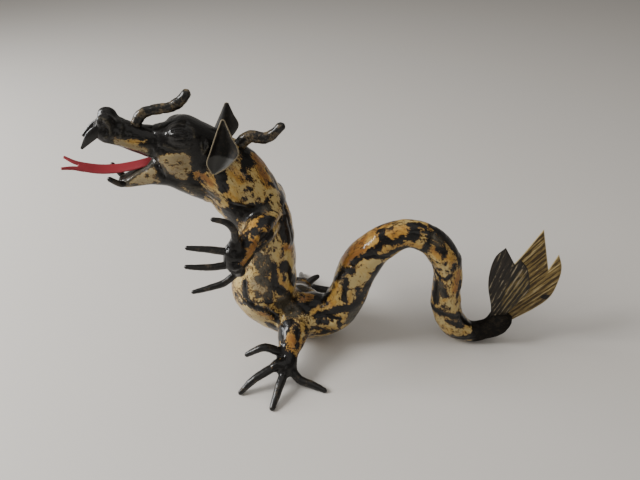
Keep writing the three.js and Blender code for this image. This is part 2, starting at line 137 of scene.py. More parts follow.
soft_panel("window", (-1.05, -0.24, 0.8), (0, 0, 0.06), (0.4, 0.6), 22, (1.0, 0.99, 0.97))
soft_panel("low_window", (-1.1, 0.12, 0.36), (0, 0, 0.1), (0.3, 0.35), 6, (0.93, 0.96, 1.0))
soft_panel("ceiling", (0.1, -0.1, 1.4), (0, 0, 0.05), (1.6, 1.6), 5, (1.0, 0.97, 0.93))
soft_panel("front_fill", (0.6, -1.0, 0.6), (0, 0, 0.06), (0.9, 0.6), 1.6, (1.0, 0.96, 0.9))
world = bpy.data.worlds.new("room")
world.use_nodes = True
world.node_tree.nodes["Background"].inputs["Color"].default_value = (0.62, 0.59, 0.55, 1)
world.node_tree.nodes["Background"].inputs["Strength"].default_value = 0.40
bpy.context.scene.world = world

# %% [markdown]
# Two short helpers serve every later step: one hands a finished piece to the frame,
# the other writes one step of a formula as a node.

# %% Helpers for pieces and formulas
def ride_as(made, name):
    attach(made, "root")
    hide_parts(name)


def calc(tree, operation, a, b=None, c=None):
    """A math node; a, b and c are numbers or sockets."""
    made = tree.nodes.new("ShaderNodeMath")
    made.operation = operation
    for socket, value in zip(made.inputs, (a, b, c)):
        if value is None:
            continue
        if isinstance(value, (int, float)):
            socket.default_value = value
        else:
            tree.links.new(value, socket)
    return made.outputs[0]

class Recipe:
    """Short calls for building a shader from nodes."""

    def __init__(self, name):
        self.material, self.shader = simple_shader(name)
        self.tree = self.material.node_tree

    def feed(self, socket, value):
        if hasattr(value, "links"):
            self.tree.links.new(value, socket)
        else:
            socket.default_value = value

    def value(self, name):
        made = self.tree.nodes.new("ShaderNodeAttribute")
        made.attribute_name = name
        return made

    def noise(self, vector, scale, detail=3.0, rough=0.55, distortion=0.0):
        made = self.tree.nodes.new("ShaderNodeTexNoise")
        made.inputs["Scale"].default_value = scale
        made.inputs["Detail"].default_value = detail
        made.inputs["Roughness"].default_value = rough
        made.inputs["Distortion"].default_value = distortion
        self.feed(made.inputs["Vector"], vector)
        return made.outputs[0]

    def sum(self, *terms):
        total = terms[0]
        for term in terms[1:]:
            total = calc(self.tree, "ADD", total, term)
        return total

    def swing(self, noise, size):
        """Noise around a half turned into a swing around zero."""
        return calc(self.tree, "MULTIPLY_ADD", noise, size, -0.5 * size)

    def range(self, value, low, high, to_low=0.0, to_high=1.0, smooth_step=False):
        made = self.tree.nodes.new("ShaderNodeMapRange")
        made.interpolation_type = "SMOOTHSTEP" if smooth_step else "LINEAR"
        for socket, number in zip(made.inputs[1:5], (low, high, to_low, to_high)):
            socket.default_value = number
        self.feed(made.inputs[0], value)
        return made.outputs[0]

    def ramp(self, value, stops):
        made = self.tree.nodes.new("ShaderNodeValToRGB")
        points = made.color_ramp.elements
        while len(points) < len(stops):
            points.new(0.5)
        for point, (place, color) in zip(points, stops):
            point.position = place
            point.color = (*color, 1)
        self.feed(made.inputs[0], value)
        return made.outputs[0]

    def mix(self, share, first, second):
        made = self.tree.nodes.new("ShaderNodeMix")
        made.data_type = "RGBA"
        self.feed(made.inputs[0], share)
        for socket, color in zip((made.inputs[6], made.inputs[7]), (first, second)):
            self.feed(socket, (*color, 1) if isinstance(color, tuple) else color)
        return made.outputs[2]

    def bump(self, height, strength, distance):
        made = self.tree.nodes.new("ShaderNodeBump")
        made.inputs["Strength"].default_value = strength
        made.inputs["Distance"].default_value = distance
        self.feed(made.inputs["Height"], height)
        self.feed(self.shader.inputs["Normal"], made.outputs[0])
        return made.outputs[0]


print("helpers ready")

# %% [markdown]
# ## Smooth lines through drawn places
# Every form follows a curved line: the trunk, the limbs, each claw. The line is drawn as a few places in
# millimetres, on a grid whose origin is 10.7 mm in front of the part's. A smooth curve through them gives
# the rest, and a second one gives the thickness along it.

# %% Curves through places
DRAWN_ORIGIN = np.array([-10.68, 0.0, 0.0])


def smooth(values, t):
    """Values on a smooth curve through evenly spaced ones, t from 0 to 1; works on numbers and on places."""
    values = np.asarray(values, float)
    if values.ndim == 1:
        return smooth(values[:, None], t)[..., 0]
    t = np.atleast_1d(np.asarray(t, float)) * (len(values) - 1)
    padded = np.vstack([2 * values[0] - values[1], values, 2 * values[-1] - values[-2]])
    k = np.clip(t.astype(int), 0, len(values) - 2)
    u = (t - k)[:, None]
    a, b, c, d = padded[k], padded[k + 1], padded[k + 2], padded[k + 3]
    return 0.5 * (2 * b + (c - a) * u + (2 * a - 5 * b + 4 * c - d) * u**2 + (3 * b - 3 * c + d - a) * u**3)


def unit(v):
    return v / np.linalg.norm(v, axis=-1, keepdims=True)


class Shape:
    """Points and faces gathered from closed forms, in drawn millimetres."""

    def __init__(self):
        self.points = []
        self.faces = []

    def add(self, points, faces):
        start = len(self.points)
        self.points.extend(points)
        self.faces.extend([tuple(start + i for i in f) for f in faces])


def skin_rings(rings):
    """A closed form from rings of points, all with the same count, closed by a fan at each end."""
    rings = np.asarray(rings)
    count, sides = rings.shape[:2]
    points = [*rings.reshape(-1, 3), rings[0].mean(0), rings[-1].mean(0)]
    first, last = count * sides, count * sides + 1
    faces = []
    for i in range(count - 1):
        for k in range(sides):
            n = (k + 1) % sides
            faces.append((i * sides + k, i * sides + n, (i + 1) * sides + n, (i + 1) * sides + k))
    for k in range(sides):
        n = (k + 1) % sides
        faces.append((first, n, k))
        faces.append((last, (count - 1) * sides + k, (count - 1) * sides + n))
    return points, faces


def bar(places, radii, steps, sides, across, flat=1.0, dome=0.9):
    """A round bar along the places with domed ends; flat is its width as a share of its height."""
    places = np.asarray(places, float)
    ts = np.linspace(0, 1, steps + 1)
    line, radius = smooth(places, ts), smooth(radii, ts)
    ahead = unit(smooth(places, np.minimum(ts + 1e-3, 1)) - smooth(places, np.maximum(ts - 1e-3, 0)))
    across = np.asarray(across, float)
    side = unit(across - (ahead @ across)[:, None] * ahead)
    over = np.cross(ahead, side)
    turn = np.linspace(0, 2 * np.pi, sides, endpoint=False)
    rings = []

    def ring(i, shift, share):
        center = line[i] + ahead[i] * shift * radius[i]
        spread = side[i] * flat * np.cos(turn)[:, None] + over[i] * np.sin(turn)[:, None]
        rings.append(center + spread * radius[i] * share)

    dome_angles = np.radians([78, 60, 40, 20])
    for angle in dome_angles:
        ring(0, -dome * math.sin(angle), math.cos(angle))
    for i in range(steps + 1):
        ring(i, 0, 1)
    for angle in dome_angles[::-1]:
        ring(steps, dome * math.sin(angle), math.cos(angle))
    return skin_rings(rings)


print("middle of three places:", smooth([(0, 0, 0), (1, 2, 0), (2, 0, 0)], 0.5)[0])

# %% [markdown]
# ## The body's bare form
# In a workshop the body would be built up in lumps over a bent core and then smoothed together.
# The same order works here: a long bar for the trunk, balls for the muscles, boxes with rounded sections for the
# jaws and bars for the limbs. They overlap freely, because the next step melts them into one skin.

# %% Draw the trunk
NECK, CHEST, BREAST, BELLY = 19.5, 18.0, 22.0, 17.0
RISE, HUMP, TAIL, TIP = 13.0, 9.6, 9.5, 7.5
TRUNK_WIDTH = 0.87

TRUNK = np.array([
    (-67, -5, 140, NECK * 0.75), (-54, -1.5, 129, NECK), (-43.2, 0, 112.4, NECK), (-35.8, 0, 97, CHEST),
    (-33.5, 0, 79, CHEST), (-35, 0, 60, CHEST * 1.08), (-37.5, 0, 42, BREAST), (-30.5, 0, 27, BREAST * 0.85),
    (-16, 0, 20, BELLY), (0, 0, 19.8, BELLY * 0.95), (11.5, 0, 26, RISE * 1.05), (18.5, 0, 41, RISE),
    (22.5, 0, 58, RISE), (29, 0, 72, RISE * 0.95), (39, 0, 84.5, HUMP * 1.15), (52.8, 1, 90.8, HUMP * 0.96),
    (66.8, 2, 86.8, HUMP * 0.94), (76.8, 3, 75, HUMP), (81.8, 4, 59, TAIL), (83, 5, 43, TAIL),
    (85.5, 6, 28.5, TAIL * 1.06), (93, 7, 14.5, TAIL), (104, 8, 7.5, TAIL * 0.92), (114.5, 8, 10.2, TIP),
    (120.5, 8, 15.2, TIP * 1.07), (123.5, 8, 22.5, TIP * 1.12),
])

body_form = Shape()
body_form.add(*bar(TRUNK[:, :3], TRUNK[:, 3], 170, 40, (0, 1, 0), flat=TRUNK_WIDTH, dome=0.5))
print("trunk points:", len(body_form.points))

# %% Swell the muscles out of it
def lump(center, radii, turn=np.eye(3), rows=20, sides=28):
    """A ball stretched along three axes, then turned."""
    rings = []
    for angle in np.linspace(0.12, np.pi - 0.12, rows):
        around = np.linspace(0, 2 * np.pi, sides, endpoint=False)
        high = np.full(sides, math.cos(angle))
        rings.append(np.stack([np.cos(around) * math.sin(angle), np.sin(around) * math.sin(angle), high], 1))
    points, faces = skin_rings(np.array(rings))
    return list((np.array(points) * radii) @ turn.T + np.array(center, float)), faces


body_form.add(*lump((-49, -4, 45), (9, 11, 8)))
body_form.add(*lump((-46, -4, 31), (8, 10, 7)))
body_form.add(*lump((-40, 0, 121), (11, 12, 9)))
for side in (-1, 1):
    body_form.add(*lump((-33, side * 10, 103), (10, 7.5, 11)))
    body_form.add(*lump((-14, side * 10, 22), (14, 9, 12)))
    body_form.add(*lump((-36, side * 20, 97.5), (8, 9, 6)))

# %% [markdown]
# The head has a frame of its own, so that its features can be drawn straight and then turned as one:
# x runs backwards from the snout, z up. It looks a little down and to the dragon's left.

# %% Draw the jaws
HEAD_PLACE = np.array([-62.0, -3.0, 145.0])
HEAD_PITCH, HEAD_YAW = math.radians(18), math.radians(21)
HEAD_TURN = np.array(Matrix.Rotation(HEAD_YAW, 3, "Z") @ Matrix.Rotation(HEAD_PITCH, 3, "Y"))


def on_head(*places):
    """Places drawn on the head, in the grid of the whole dragon."""
    return np.array(places, float) @ HEAD_TURN.T + HEAD_PLACE


def head_form(stations, steps=60, sides=36, square=2.3):
    """A form along the head from stations of x, top, bottom and half width; square above 2 flattens its sides."""
    rings = []
    for x, top, bottom, half_width in smooth(stations, np.linspace(0, 1, steps + 1)):
        around = np.linspace(0, 2 * np.pi, sides, endpoint=False)
        c, s = np.cos(around), np.sin(around)
        reach = (np.abs(c) ** square + np.abs(s) ** square) ** (-1 / square)
        ys = c * reach * half_width
        zs = (top + bottom) / 2 + s * reach * (top - bottom) / 2
        rings.append(on_head(*np.stack([np.full(sides, x), ys, zs], 1)))
    return skin_rings(np.array(rings))


SKULL = [(12, 5, -18, 12), (3, 9.5, -18, 13.5), (-6, 12.4, -16, 13), (-15, 14, -14, 12), (-23, 8.5, -13, 10.5),
         (-31, 4.8, -12, 9), (-39, 4.2, -10.5, 8), (-47, 5.5, -9, 8), (-54, 5, -8, 7.5), (-58.5, 1, -5, 5)]
JAW = [(6, -2, -34, 12), (-6, -5, -31, 12), (-16, -9, -27.5, 10.5), (-26, -13, -28, 8.5), (-33, -19, -30.5, 7),
       (-39, -24.5, -33, 5.8), (-43.5, -28, -32.5, 3.6)]
MOUTH = [(-14, -11, -15, 3.5), (-22, -11.5, -18, 5.5), (-30, -12.5, -24.5, 5.6), (-37, -11.5, -29, 4.6),
         (-41.5, -11.5, -29.5, 3), (-50, -14, -24, 3)]

body_form.add(*head_form(SKULL))
body_form.add(*head_form(JAW))
for side in (-1, 1):
    for center, radii in [((-14, 8, 5.4), (9.5, 6, 6)), ((-16, 8, -8.5), (9.5, 5, 8.5)), ((-52.5, 4.6, 4.2), (5, 3.8, 4.6))]:
        place = on_head((center[0], side * center[1], center[2]))[0]
        body_form.add(*lump(place, radii, HEAD_TURN))
print("points with the head:", len(body_form.points))

# %% Draw the limbs
ARM = np.array([(-32, -6, 104), (-32.5, -20, 101), (-37, -31, 98), (-41.5, -38, 96)], float)
HAND = np.array([(-41, -38.5, 107), (-43.2, -39.5, 99), (-43.4, -39.5, 91), (-41.2, -37.5, 84.5)], float)
LEG = np.array([(-16, -8, 24), (-16.5, -19, 19.5), (-17.3, -31, 14.5), (-17.5, -40, 11)], float)
WRIST = np.array([(-34, -24, 100), (-38.5, -31, 96.5), (-42, -37, 92)], float)
ARM_RADII, HAND_RADII, LEG_RADII = (10.5, 9, 6.6, 5.5), (3.7, 5.6, 5.6, 3.7), (12, 10.3, 7, 7)


def other_side(places):
    return np.asarray(places, float) * (1, -1, 1)


def both_sides(places):
    return [np.asarray(places, float), other_side(places)]


for places in both_sides(ARM):
    body_form.add(*bar(places, ARM_RADII, 40, 28, (0, 0, 1)))
for places in both_sides(WRIST):
    body_form.add(*bar(places, (7.4, 6.9, 6.0), 24, 28, (0, 0, 1)))
for places in both_sides(HAND):
    body_form.add(*bar(places, HAND_RADII, 30, 28, (1, 0, 0)))
for places in both_sides(LEG):
    body_form.add(*bar(places, LEG_RADII, 40, 28, (0, 0, 1)))

# %% [markdown]
# ## The claws' lines
# The claws are drawn before the skin is melted, because each leaves its paw from a knuckle that belongs to the body.
# Each line runs from the root in the paw to the blunt tip.

# %% Draw the claws' lines and their knuckles
HAND_CLAWS = [
    [(-41.2, -39.5, 107), (-41.2, -41, 115), (-44.2, -43, 120.6), (-50.5, -46, 124.2)],
    [(-44.5, -40.5, 99.9), (-55, -44, 103.3), (-66, -48, 106.5)],
    [(-44.5, -40.5, 91.6), (-56, -44, 91.3), (-68.5, -48, 93.6)],
    [(-42.5, -38.4, 84.6), (-50, -42, 79), (-59, -45, 76.8), (-67.2, -48, 75.6)],
]
FOOT_CLAWS = [
    [(-21.5, -34.5, 17), (-28, -36.5, 22.4), (-33, -38.5, 24.4), (-43, -41, 19.3)],
    [(-23.6, -42.2, 12.9), (-30, -46.5, 11.2), (-37, -51, 8), (-45, -56.5, 1.1)],
    [(-18.4, -45.5, 9.2), (-19.6, -51.5, 7.6), (-21, -58.5, 4.6), (-22.7, -66.5, 1.1)],
    [(-13.2, -42, 9), (-8, -45, 5), (0, -46.6, 3), (9, -48.9, 1.1)],
]
RIGHT_THUMB = [(-41.5, 39.5, 106), (-43.5, 41, 112), (-48, 42.5, 114.5), (-55, 43, 114)]
RIGHT_DEWCLAW = [(-14, 36, 15.5), (-10.5, 40, 17.3), (-5.5, 44.5, 18)]
HAND_CLAW, FOOT_CLAW = 2.1, 2.8

claw_lines = {}
for i in range(4):
    claw_lines["left_hand_claw_%d" % (i + 1)] = (np.array(HAND_CLAWS[i], float), HAND_CLAW)
    claw_lines["left_foot_claw_%d" % (i + 1)] = (np.array(FOOT_CLAWS[i], float), FOOT_CLAW)
    right_hand = RIGHT_THUMB if i == 0 else other_side(HAND_CLAWS[i])
    right_foot = RIGHT_DEWCLAW if i == 0 else other_side(FOOT_CLAWS[i])
    claw_lines["right_hand_claw_%d" % (i + 1)] = (np.array(right_hand, float), HAND_CLAW)
    claw_lines["right_foot_claw_%d" % (i + 1)] = (np.array(right_foot, float), FOOT_CLAW)

for places, radius in claw_lines.values():
    ahead = unit(places[1] - places[0])
    knuckle = [places[0] - ahead * 2.5, places[0], places[0] + ahead * 2.6]
    body_form.add(*bar(knuckle, (radius * 1.5, radius * 1.35, radius * 1.02), 8, 18, (0.2, 0.3, 1)))
print("forms melted into the body:", len(body_form.points), "points")

# %% [markdown]
# ## Melt the forms into one skin
# A voxel remesh turns any pile of closed forms into one closed skin of even squares. The open mouth is cut
# with a Boolean between two remeshes. The squares are 0.84 mm wide: small enough for eyelids and lips,
# and still well under 200,000 triangles.

# %% Remesh the pile and cut the mouth
SKIN_CELL = 0.84


def to_part(places):
    """Drawn millimetres to the part's metres."""
    return (np.asarray(places, float) + DRAWN_ORIGIN) * MM


def evaluated(source, name):
    """The object's finished mesh as a new plain object; the source goes."""
    graph = bpy.context.evaluated_depsgraph_get()
    mesh = bpy.data.meshes.new_from_object(source.evaluated_get(graph), preserve_all_data_layers=True, depsgraph=graph)
    mesh.name = name
    bpy.data.objects.remove(source)
    made = bpy.data.objects.new(name, mesh)
    bpy.context.scene.collection.objects.link(made)
    return made


EAR_THICKNESS = 1.1
EAR_LINES = [
    [(2, -18.2, -8.6), (-1.5, -17.5, -3.5), (-0.8, -16.4, 3), (0.4, -14.6, 12), (1.6, -14, 20.2)],
    [(3, -17.6, -9), (3.4, -13, -4.5), (4.4, -10.4, 4), (4.2, -11.4, 12), (2.5, -13.6, 20.8)],
    [(4, -18.4, -8.6), (9.5, -19.4, -2.5), (13.2, -20, 6.5), (8, -17, 14), (3.4, -14.2, 20.4)],
]
RIGHT_EAR_SHIFT = np.array([4.6, 1.4, 1.2])


def ear_grid(side, rows=72, columns=36):
    """The middle of an ear's sheet as a grid of places, and its three lines."""
    shift = np.zeros(3) if side < 0 else RIGHT_EAR_SHIFT
    lines = [smooth(on_head(*((np.array(line) + shift) * (1, -side, 1))), np.linspace(0, 1, rows + 1)) for line in EAR_LINES]
    front, valley, back = lines
    bend = valley * 1.6 - front * 0.3 - back * 0.3
    u = np.linspace(0, 1, columns + 1)[None, :, None]
    return front[:, None] * (1 - u) ** 2 + bend[:, None] * 2 * u * (1 - u) + back[:, None] * u**2, lines, u


def wrapped(places, grow):
    """The tightest closed skin round some places, moved outwards a little."""
    wrap = bmesh.new()
    for place in places:
        wrap.verts.new(place)
    hull = bmesh.ops.convex_hull(wrap, input=wrap.verts)
    inside = {e for e in hull["geom_interior"] + hull["geom_unused"] if isinstance(e, bmesh.types.BMVert)}
    bmesh.ops.delete(wrap, geom=list(inside), context="VERTS")
    bmesh.ops.recalc_face_normals(wrap, faces=wrap.faces)
    wrap.normal_update()
    wrap.verts.index_update()
    points = [np.array(v.co + v.normal * grow) for v in wrap.verts]
    faces = [tuple(v.index for v in f.verts) for f in wrap.faces]
    wrap.free()
    return points, faces


pile = plain_mesh("pile", to_part(body_form.points), body_form.faces)
mouth = Shape()
mouth.add(*head_form(MOUTH, square=2.0))
for side in (-1, 1):
    mouth.add(*wrapped(ear_grid(side, 12, 8)[0].reshape(-1, 3), 0.9))
cutter = plain_mesh("mouth_cutter", to_part(mouth.points), mouth.faces)
melt = pile.modifiers.new("melt", "REMESH")
melt.mode = "VOXEL"
melt.voxel_size = SKIN_CELL * MM
cut = pile.modifiers.new("mouth", "BOOLEAN")
cut.operation = "DIFFERENCE"
cut.solver = "MANIFOLD"
cut.object = cutter
even = pile.modifiers.new("even", "REMESH")
even.mode = "VOXEL"
even.voxel_size = SKIN_CELL * MM
skin = evaluated(pile, "body_skin")
skin.data.materials.clear()
bpy.data.objects.remove(cutter)
print("skin:", len(skin.data.vertices), "points,", len(skin.data.polygons), "squares")

# %% [markdown]
# ## Where each place of the skin belongs
# The paint and the carving follow the limbs, so each point is first given to its nearest bone: head, trunk, arm or
# leg. How far along the bone it lies becomes the grain of the marbling. The far side of the dragon repeats the near
# side, shifted a little so that no one sees the same spots twice.

# %% Give each point its bone
def hand_noise(places, size, seed):
    """Soft random swells of about the given size in millimetres, between -1 and 1."""
    grid = np.random.default_rng(seed).uniform(-1, 1, (24, 24, 24))
    at = np.asarray(places) / size + seed * 0.37
    low = np.floor(at).astype(int)
    t = at - low
    t = t * t * (3 - 2 * t)
    total = np.zeros(len(at))
    for corner in np.ndindex(2, 2, 2):
        share = np.prod(np.where(corner, t, 1 - t), axis=1)
        total += share * grid[tuple(((low + corner) % 24).T)]
    return total


def nearest_on(places, line):
    """For each place the nearest sample of a line: its number and its distance."""
    number = np.zeros(len(places), int)
    reach = np.full(len(places), 1e9)
    for i, spot in enumerate(line):
        d = ((places - spot) ** 2).sum(1)
        closer = d < reach
        reach[closer], number[closer] = d[closer], i
    return number, np.sqrt(reach)


def smooth_skin(points, edges, rounds):
    count = np.bincount(edges.ravel(), minlength=len(points))[:, None]
    for _ in range(rounds):
        total = np.stack([np.bincount(edges[:, 0], points[edges[:, 1], k], len(points))
                          + np.bincount(edges[:, 1], points[edges[:, 0], k], len(points)) for k in range(3)], 1)
        points = points * 0.5 + 0.5 * total / count
    return points


def read_points(mesh):
    flat = np.zeros(len(mesh.vertices) * 3)
    mesh.vertices.foreach_get("co", flat)
    return flat.reshape(-1, 3) / MM - DRAWN_ORIGIN


def write_points(mesh, points):
    mesh.vertices.foreach_set("co", to_part(points).ravel())
    mesh.update()


def read_normals(mesh):
    flat = np.zeros(len(mesh.vertices) * 3)
    mesh.vertex_normals.foreach_get("vector", flat)
    return flat.reshape(-1, 3)


edges = np.zeros(len(skin.data.edges) * 2, int)
skin.data.edges.foreach_get("vertices", edges)
edges = edges.reshape(-1, 2)
points = smooth_skin(read_points(skin.data), edges, 6)
write_points(skin.data, points)

BONES = {
    "trunk": smooth(TRUNK[1:], np.linspace(0, 1, 260)),
    "head": smooth(np.column_stack([on_head((14, 0, -7), (0, 0, -5), (-16, 0, -2), (-32, 0, -4), (-58, 0, -2)),
                                    (13, 14, 13, 8.5, 6.5)]), np.linspace(0, 1, 60)),
    "jaw": smooth(np.column_stack([on_head((0, 0, -19), (-16, 0, -19), (-30, 0, -24), (-43, 0, -30)), (13, 10, 6.5, 3.6)]),
                  np.linspace(0, 1, 40)),
}
for side in (-1, 1):
    far = np.array([1, -side, 1, 1])
    BONES["arm%+d" % side] = far * smooth(np.column_stack([np.vstack([ARM[1:], HAND[1:]]), (9.5, 6.6, 5.6, 5.6, 5.6, 4)]), np.linspace(0, 1, 80))
    BONES["leg%+d" % side] = far * smooth(np.column_stack([LEG[1:], (10.3, 7.4, 8)]), np.linspace(0, 1, 60))

names = list(BONES)
shares, numbers = [], []
for name in names:
    number, reach = nearest_on(points, BONES[name][:, :3])
    shares.append(reach / BONES[name][number, 3])
    numbers.append(number)
owner = np.argmin(shares, axis=0)
is_head = (owner == names.index("head")) | (owner == names.index("jaw"))
is_limb = owner > names.index("jaw")
print("points on head, trunk, limbs:", is_head.sum(), (~is_head & ~is_limb).sum(), is_limb.sum())

# %% Lay the grain along the bones
head_places = (points - HEAD_PLACE) @ HEAD_TURN
grain = np.zeros_like(points)
for k, name in enumerate(names):
    mine = owner == k
    line = BONES[name][:, :3]
    ahead = unit(np.gradient(line, axis=0))
    steps = np.r_[0, np.cumsum(np.linalg.norm(np.diff(line, axis=0), axis=1))]
    number = numbers[k][mine]
    away = points[mine] - line[number]
    along = steps[number] + (away * ahead[number]).sum(1)
    grain[mine] = np.column_stack([along / 2.3, away[:, 1], (away - ahead[number] * (away * ahead[number]).sum(1)[:, None]) @ (0.7, 0, 0.7)]) + k * 31.0
grain[is_head] = head_places[is_head] * (0.55, 1, 1)

middle_y = BONES["trunk"][numbers[names.index("trunk")], 1]
near_side = points.copy()
trunk_far = ~is_head & ~is_limb & (points[:, 1] > middle_y)
near_side[trunk_far, 1] = 2 * middle_y[trunk_far] - points[trunk_far, 1]
limb_far = is_limb & (points[:, 1] > 0)
near_side[limb_far, 1] *= -1
head_far = is_head & (head_places[:, 1] > 0)
near_side[head_far] = on_head(*(head_places[head_far] * (1, -1, 1)))
far_share = np.where(trunk_far, np.clip((points[:, 1] - middle_y) / 8, 0, 1), np.where(limb_far | head_far, 1.0, 0.0))
shift = np.stack([4 * np.sin(points[:, 2] / 9 + 1), 1.5 * np.sin(points[:, 0] / 7), 4 * np.sin(points[:, 0] / 11 + 2)], 1)
paint_place = near_side + shift * (far_share * np.where(is_head, 0.35, 1.0))[:, None]
print("far side:", int((far_share > 0).sum()), "points")

# %% [markdown]
# ## Carve the skin
# Folds, eyelids, nostrils and lips are pressed into the paste with a rounded tool. Each mark is a line with a depth
# in millimetres (down is negative) and a width. The skin moves along its own normals, most on the line, less beside it.

# %% Lines pressed into the skin
def line_distance(places, line):
    """Distance from each place to a line through drawn places; a single place is a dot."""
    line = np.asarray(line, float)
    if len(line) == 1:
        return np.linalg.norm(places - line[0], axis=1)
    best = np.full(len(places), 1e9)
    for a, b in zip(line, line[1:]):
        t = np.clip((places - a) @ (b - a) / max((b - a) @ (b - a), 1e-9), 0, 1)
        best = np.minimum(best, np.linalg.norm(places - a - t[:, None] * (b - a), axis=1))
    return best


def around(places, line, reach):
    """Numbers of the places within reach of the line's box."""
    line = np.asarray(line, float)
    low, high = line.min(0) - reach, line.max(0) + reach
    return np.nonzero(((places > low) & (places < high)).all(1))[0]


CARVING = [
    (-1.5, 1.2, [(-21, -6, 102.5), (-25, -22.5, 103), (-29, -30, 101), (-32, -34, 96.5), (-44, -13, 72)]),
    (0.9, 2.4, [(-24, -11.5, 107.5), (-28.5, -26, 106.5), (-32.5, -32.5, 103.5), (-35.5, -38, 99), (-39, -42, 95.5)]),
    (-0.8, 0.8, [(-58, -4.5, 44), (-50.5, -14, 46.5), (-45, -17.5, 44.5), (-40, -18.5, 42.5)]),
    (-0.6, 0.8, [(-54, -12, 45), (-52, -13, 39.5), (-46.5, -17, 40)]),
    (-0.7, 1, [(-41.5, -18, 43), (-33, -18.5, 39), (-27.5, -16, 30), (-21.5, -20.5, 28)]),
    (-0.55, 0.7, [(-5, -16, 22.5), (3, -13.5, 18.5), (14, -8, 13.5), (15, -11.5, 29), (5, -10.5, 30), (-3.5, -11, 29)]),
    (0.5, 2.2, [(-1.5, -13, 24.5), (10.5, -12, 24.5)]),
    (-0.6, 0.7, [(69, 1, 70), (72.5, -1, 64), (79, -4, 61), (83.5, -4, 66.5), (83.5, -3.5, 73.5)]),
    (0.35, 1.8, [(74, -5, 75.5), (78, -4.5, 68), (80, -4.5, 76)]),
    (-0.7, 0.8, [(68, -2, 94.5), (66, -5.5, 91.5), (63, -5.5, 85)]),
    (-0.4, 0.8, [(20.5, -8.5, 72.5), (27.5, -9.5, 79), (33.5, -10, 81.5), (41.5, -8.5, 79.5)]),
    (-0.5, 0.7, [(14, -4.5, 66.5), (20.5, -9, 71), (27.5, -10, 75.5)]),
    (0.4, 0.8, [(16, -7, 67), (22, -9.5, 71.5), (28, -10, 75)]),
    (-0.45, 0.9, [(-25, 13, 109.5), (-21, -3.5, 108), (-19, -4.5, 98), (-17, -4.5, 84)]),
    (-0.4, 0.9, [(-26, -14, 82), (-27, -15, 65), (-27, -16, 48)]),
    (-0.45, 0.8, [(-46, -12.5, 68.5), (-45.5, -15, 57.5), (-44, -17.5, 45.5)]),
    (0.6, 0.8, [(-28, -14.5, 86), (-29, -14.5, 83.5), (-31, -15, 82.5), (-33, -15.5, 83.5), (-29.5, -31.5, 98), (-29, -30.5, 100), (-27.5, -28.5, 99.5), (-28.5, -14.5, 88.5), (-28, -14.5, 86)]),
    (-0.7, 1, [(-31, -15, 86)]), (-0.4, 0.8, [(-70.5, -17.5, 126.5), (-63.5, -14, 118.5), (-55.5, -13.5, 110)]),
    (-0.35, 0.7, [(-72.5, -18.5, 128), (-63.5, -15, 123), (-55, -16.5, 118)]),
    (0.3, 0.7, [(-72, -17.5, 125), (-66.5, -10, 114), (-56.5, -11.5, 107)]),
    (-0.4, 0.8, [(-27, -15.5, 55.5), (-21, -11.5, 48), (-14.5, -6.5, 35.5), (-8, -10.5, 32.5)]),
    (-0.4, 0.7, [(81.5, -0.5, 23.5), (90, -1.5, 18), (103, 1.5, 13.5)]),
    (-0.35, 0.7, [(85.5, 3, 11.5), (95, 0, 8), (108, 1, 8.5)]),
    (-0.5, 0.8, [(75.5, 2, 33.5), (82, -2.5, 32), (92.5, -0.5, 28)]),
    (-0.5, 0.9, [(-48, -17, 116), (-40.5, -16.5, 113.5), (-32, -13.5, 112.5)]),
    (-0.5, 0.8, [(-12, -23, 27), (-11.5, -31.5, 19)]),
    (-0.9, 1, [(-45.5, -42, 103.5), (-41.5, -44, 102.5), (-38, -43, 101)]),
    (-0.9, 1, [(-46, -43, 95.7), (-42, -45, 95.5), (-38.5, -43.5, 95)]),
    (-0.9, 1, [(-45.5, -43, 88), (-41.5, -44.5, 88.5), (-38.5, -43, 89.5)]),
    (0.6, 1.4, [(-45, -43, 99.9), (-41, -44.5, 99), (-37, -42, 98)]),
    (0.6, 1.4, [(-45, -43.5, 91.6), (-41, -44.8, 92.5), (-37.5, -43, 93.5)]),
    (-0.8, 0.9, [(-24, -38, 15.5), (-19.5, -38.5, 18)]), (-0.8, 0.9, [(-21.5, -45, 12), (-18.5, -42, 16)]),
    (-0.8, 0.9, [(-15.5, -45, 10.5), (-16, -41, 16)]),
]
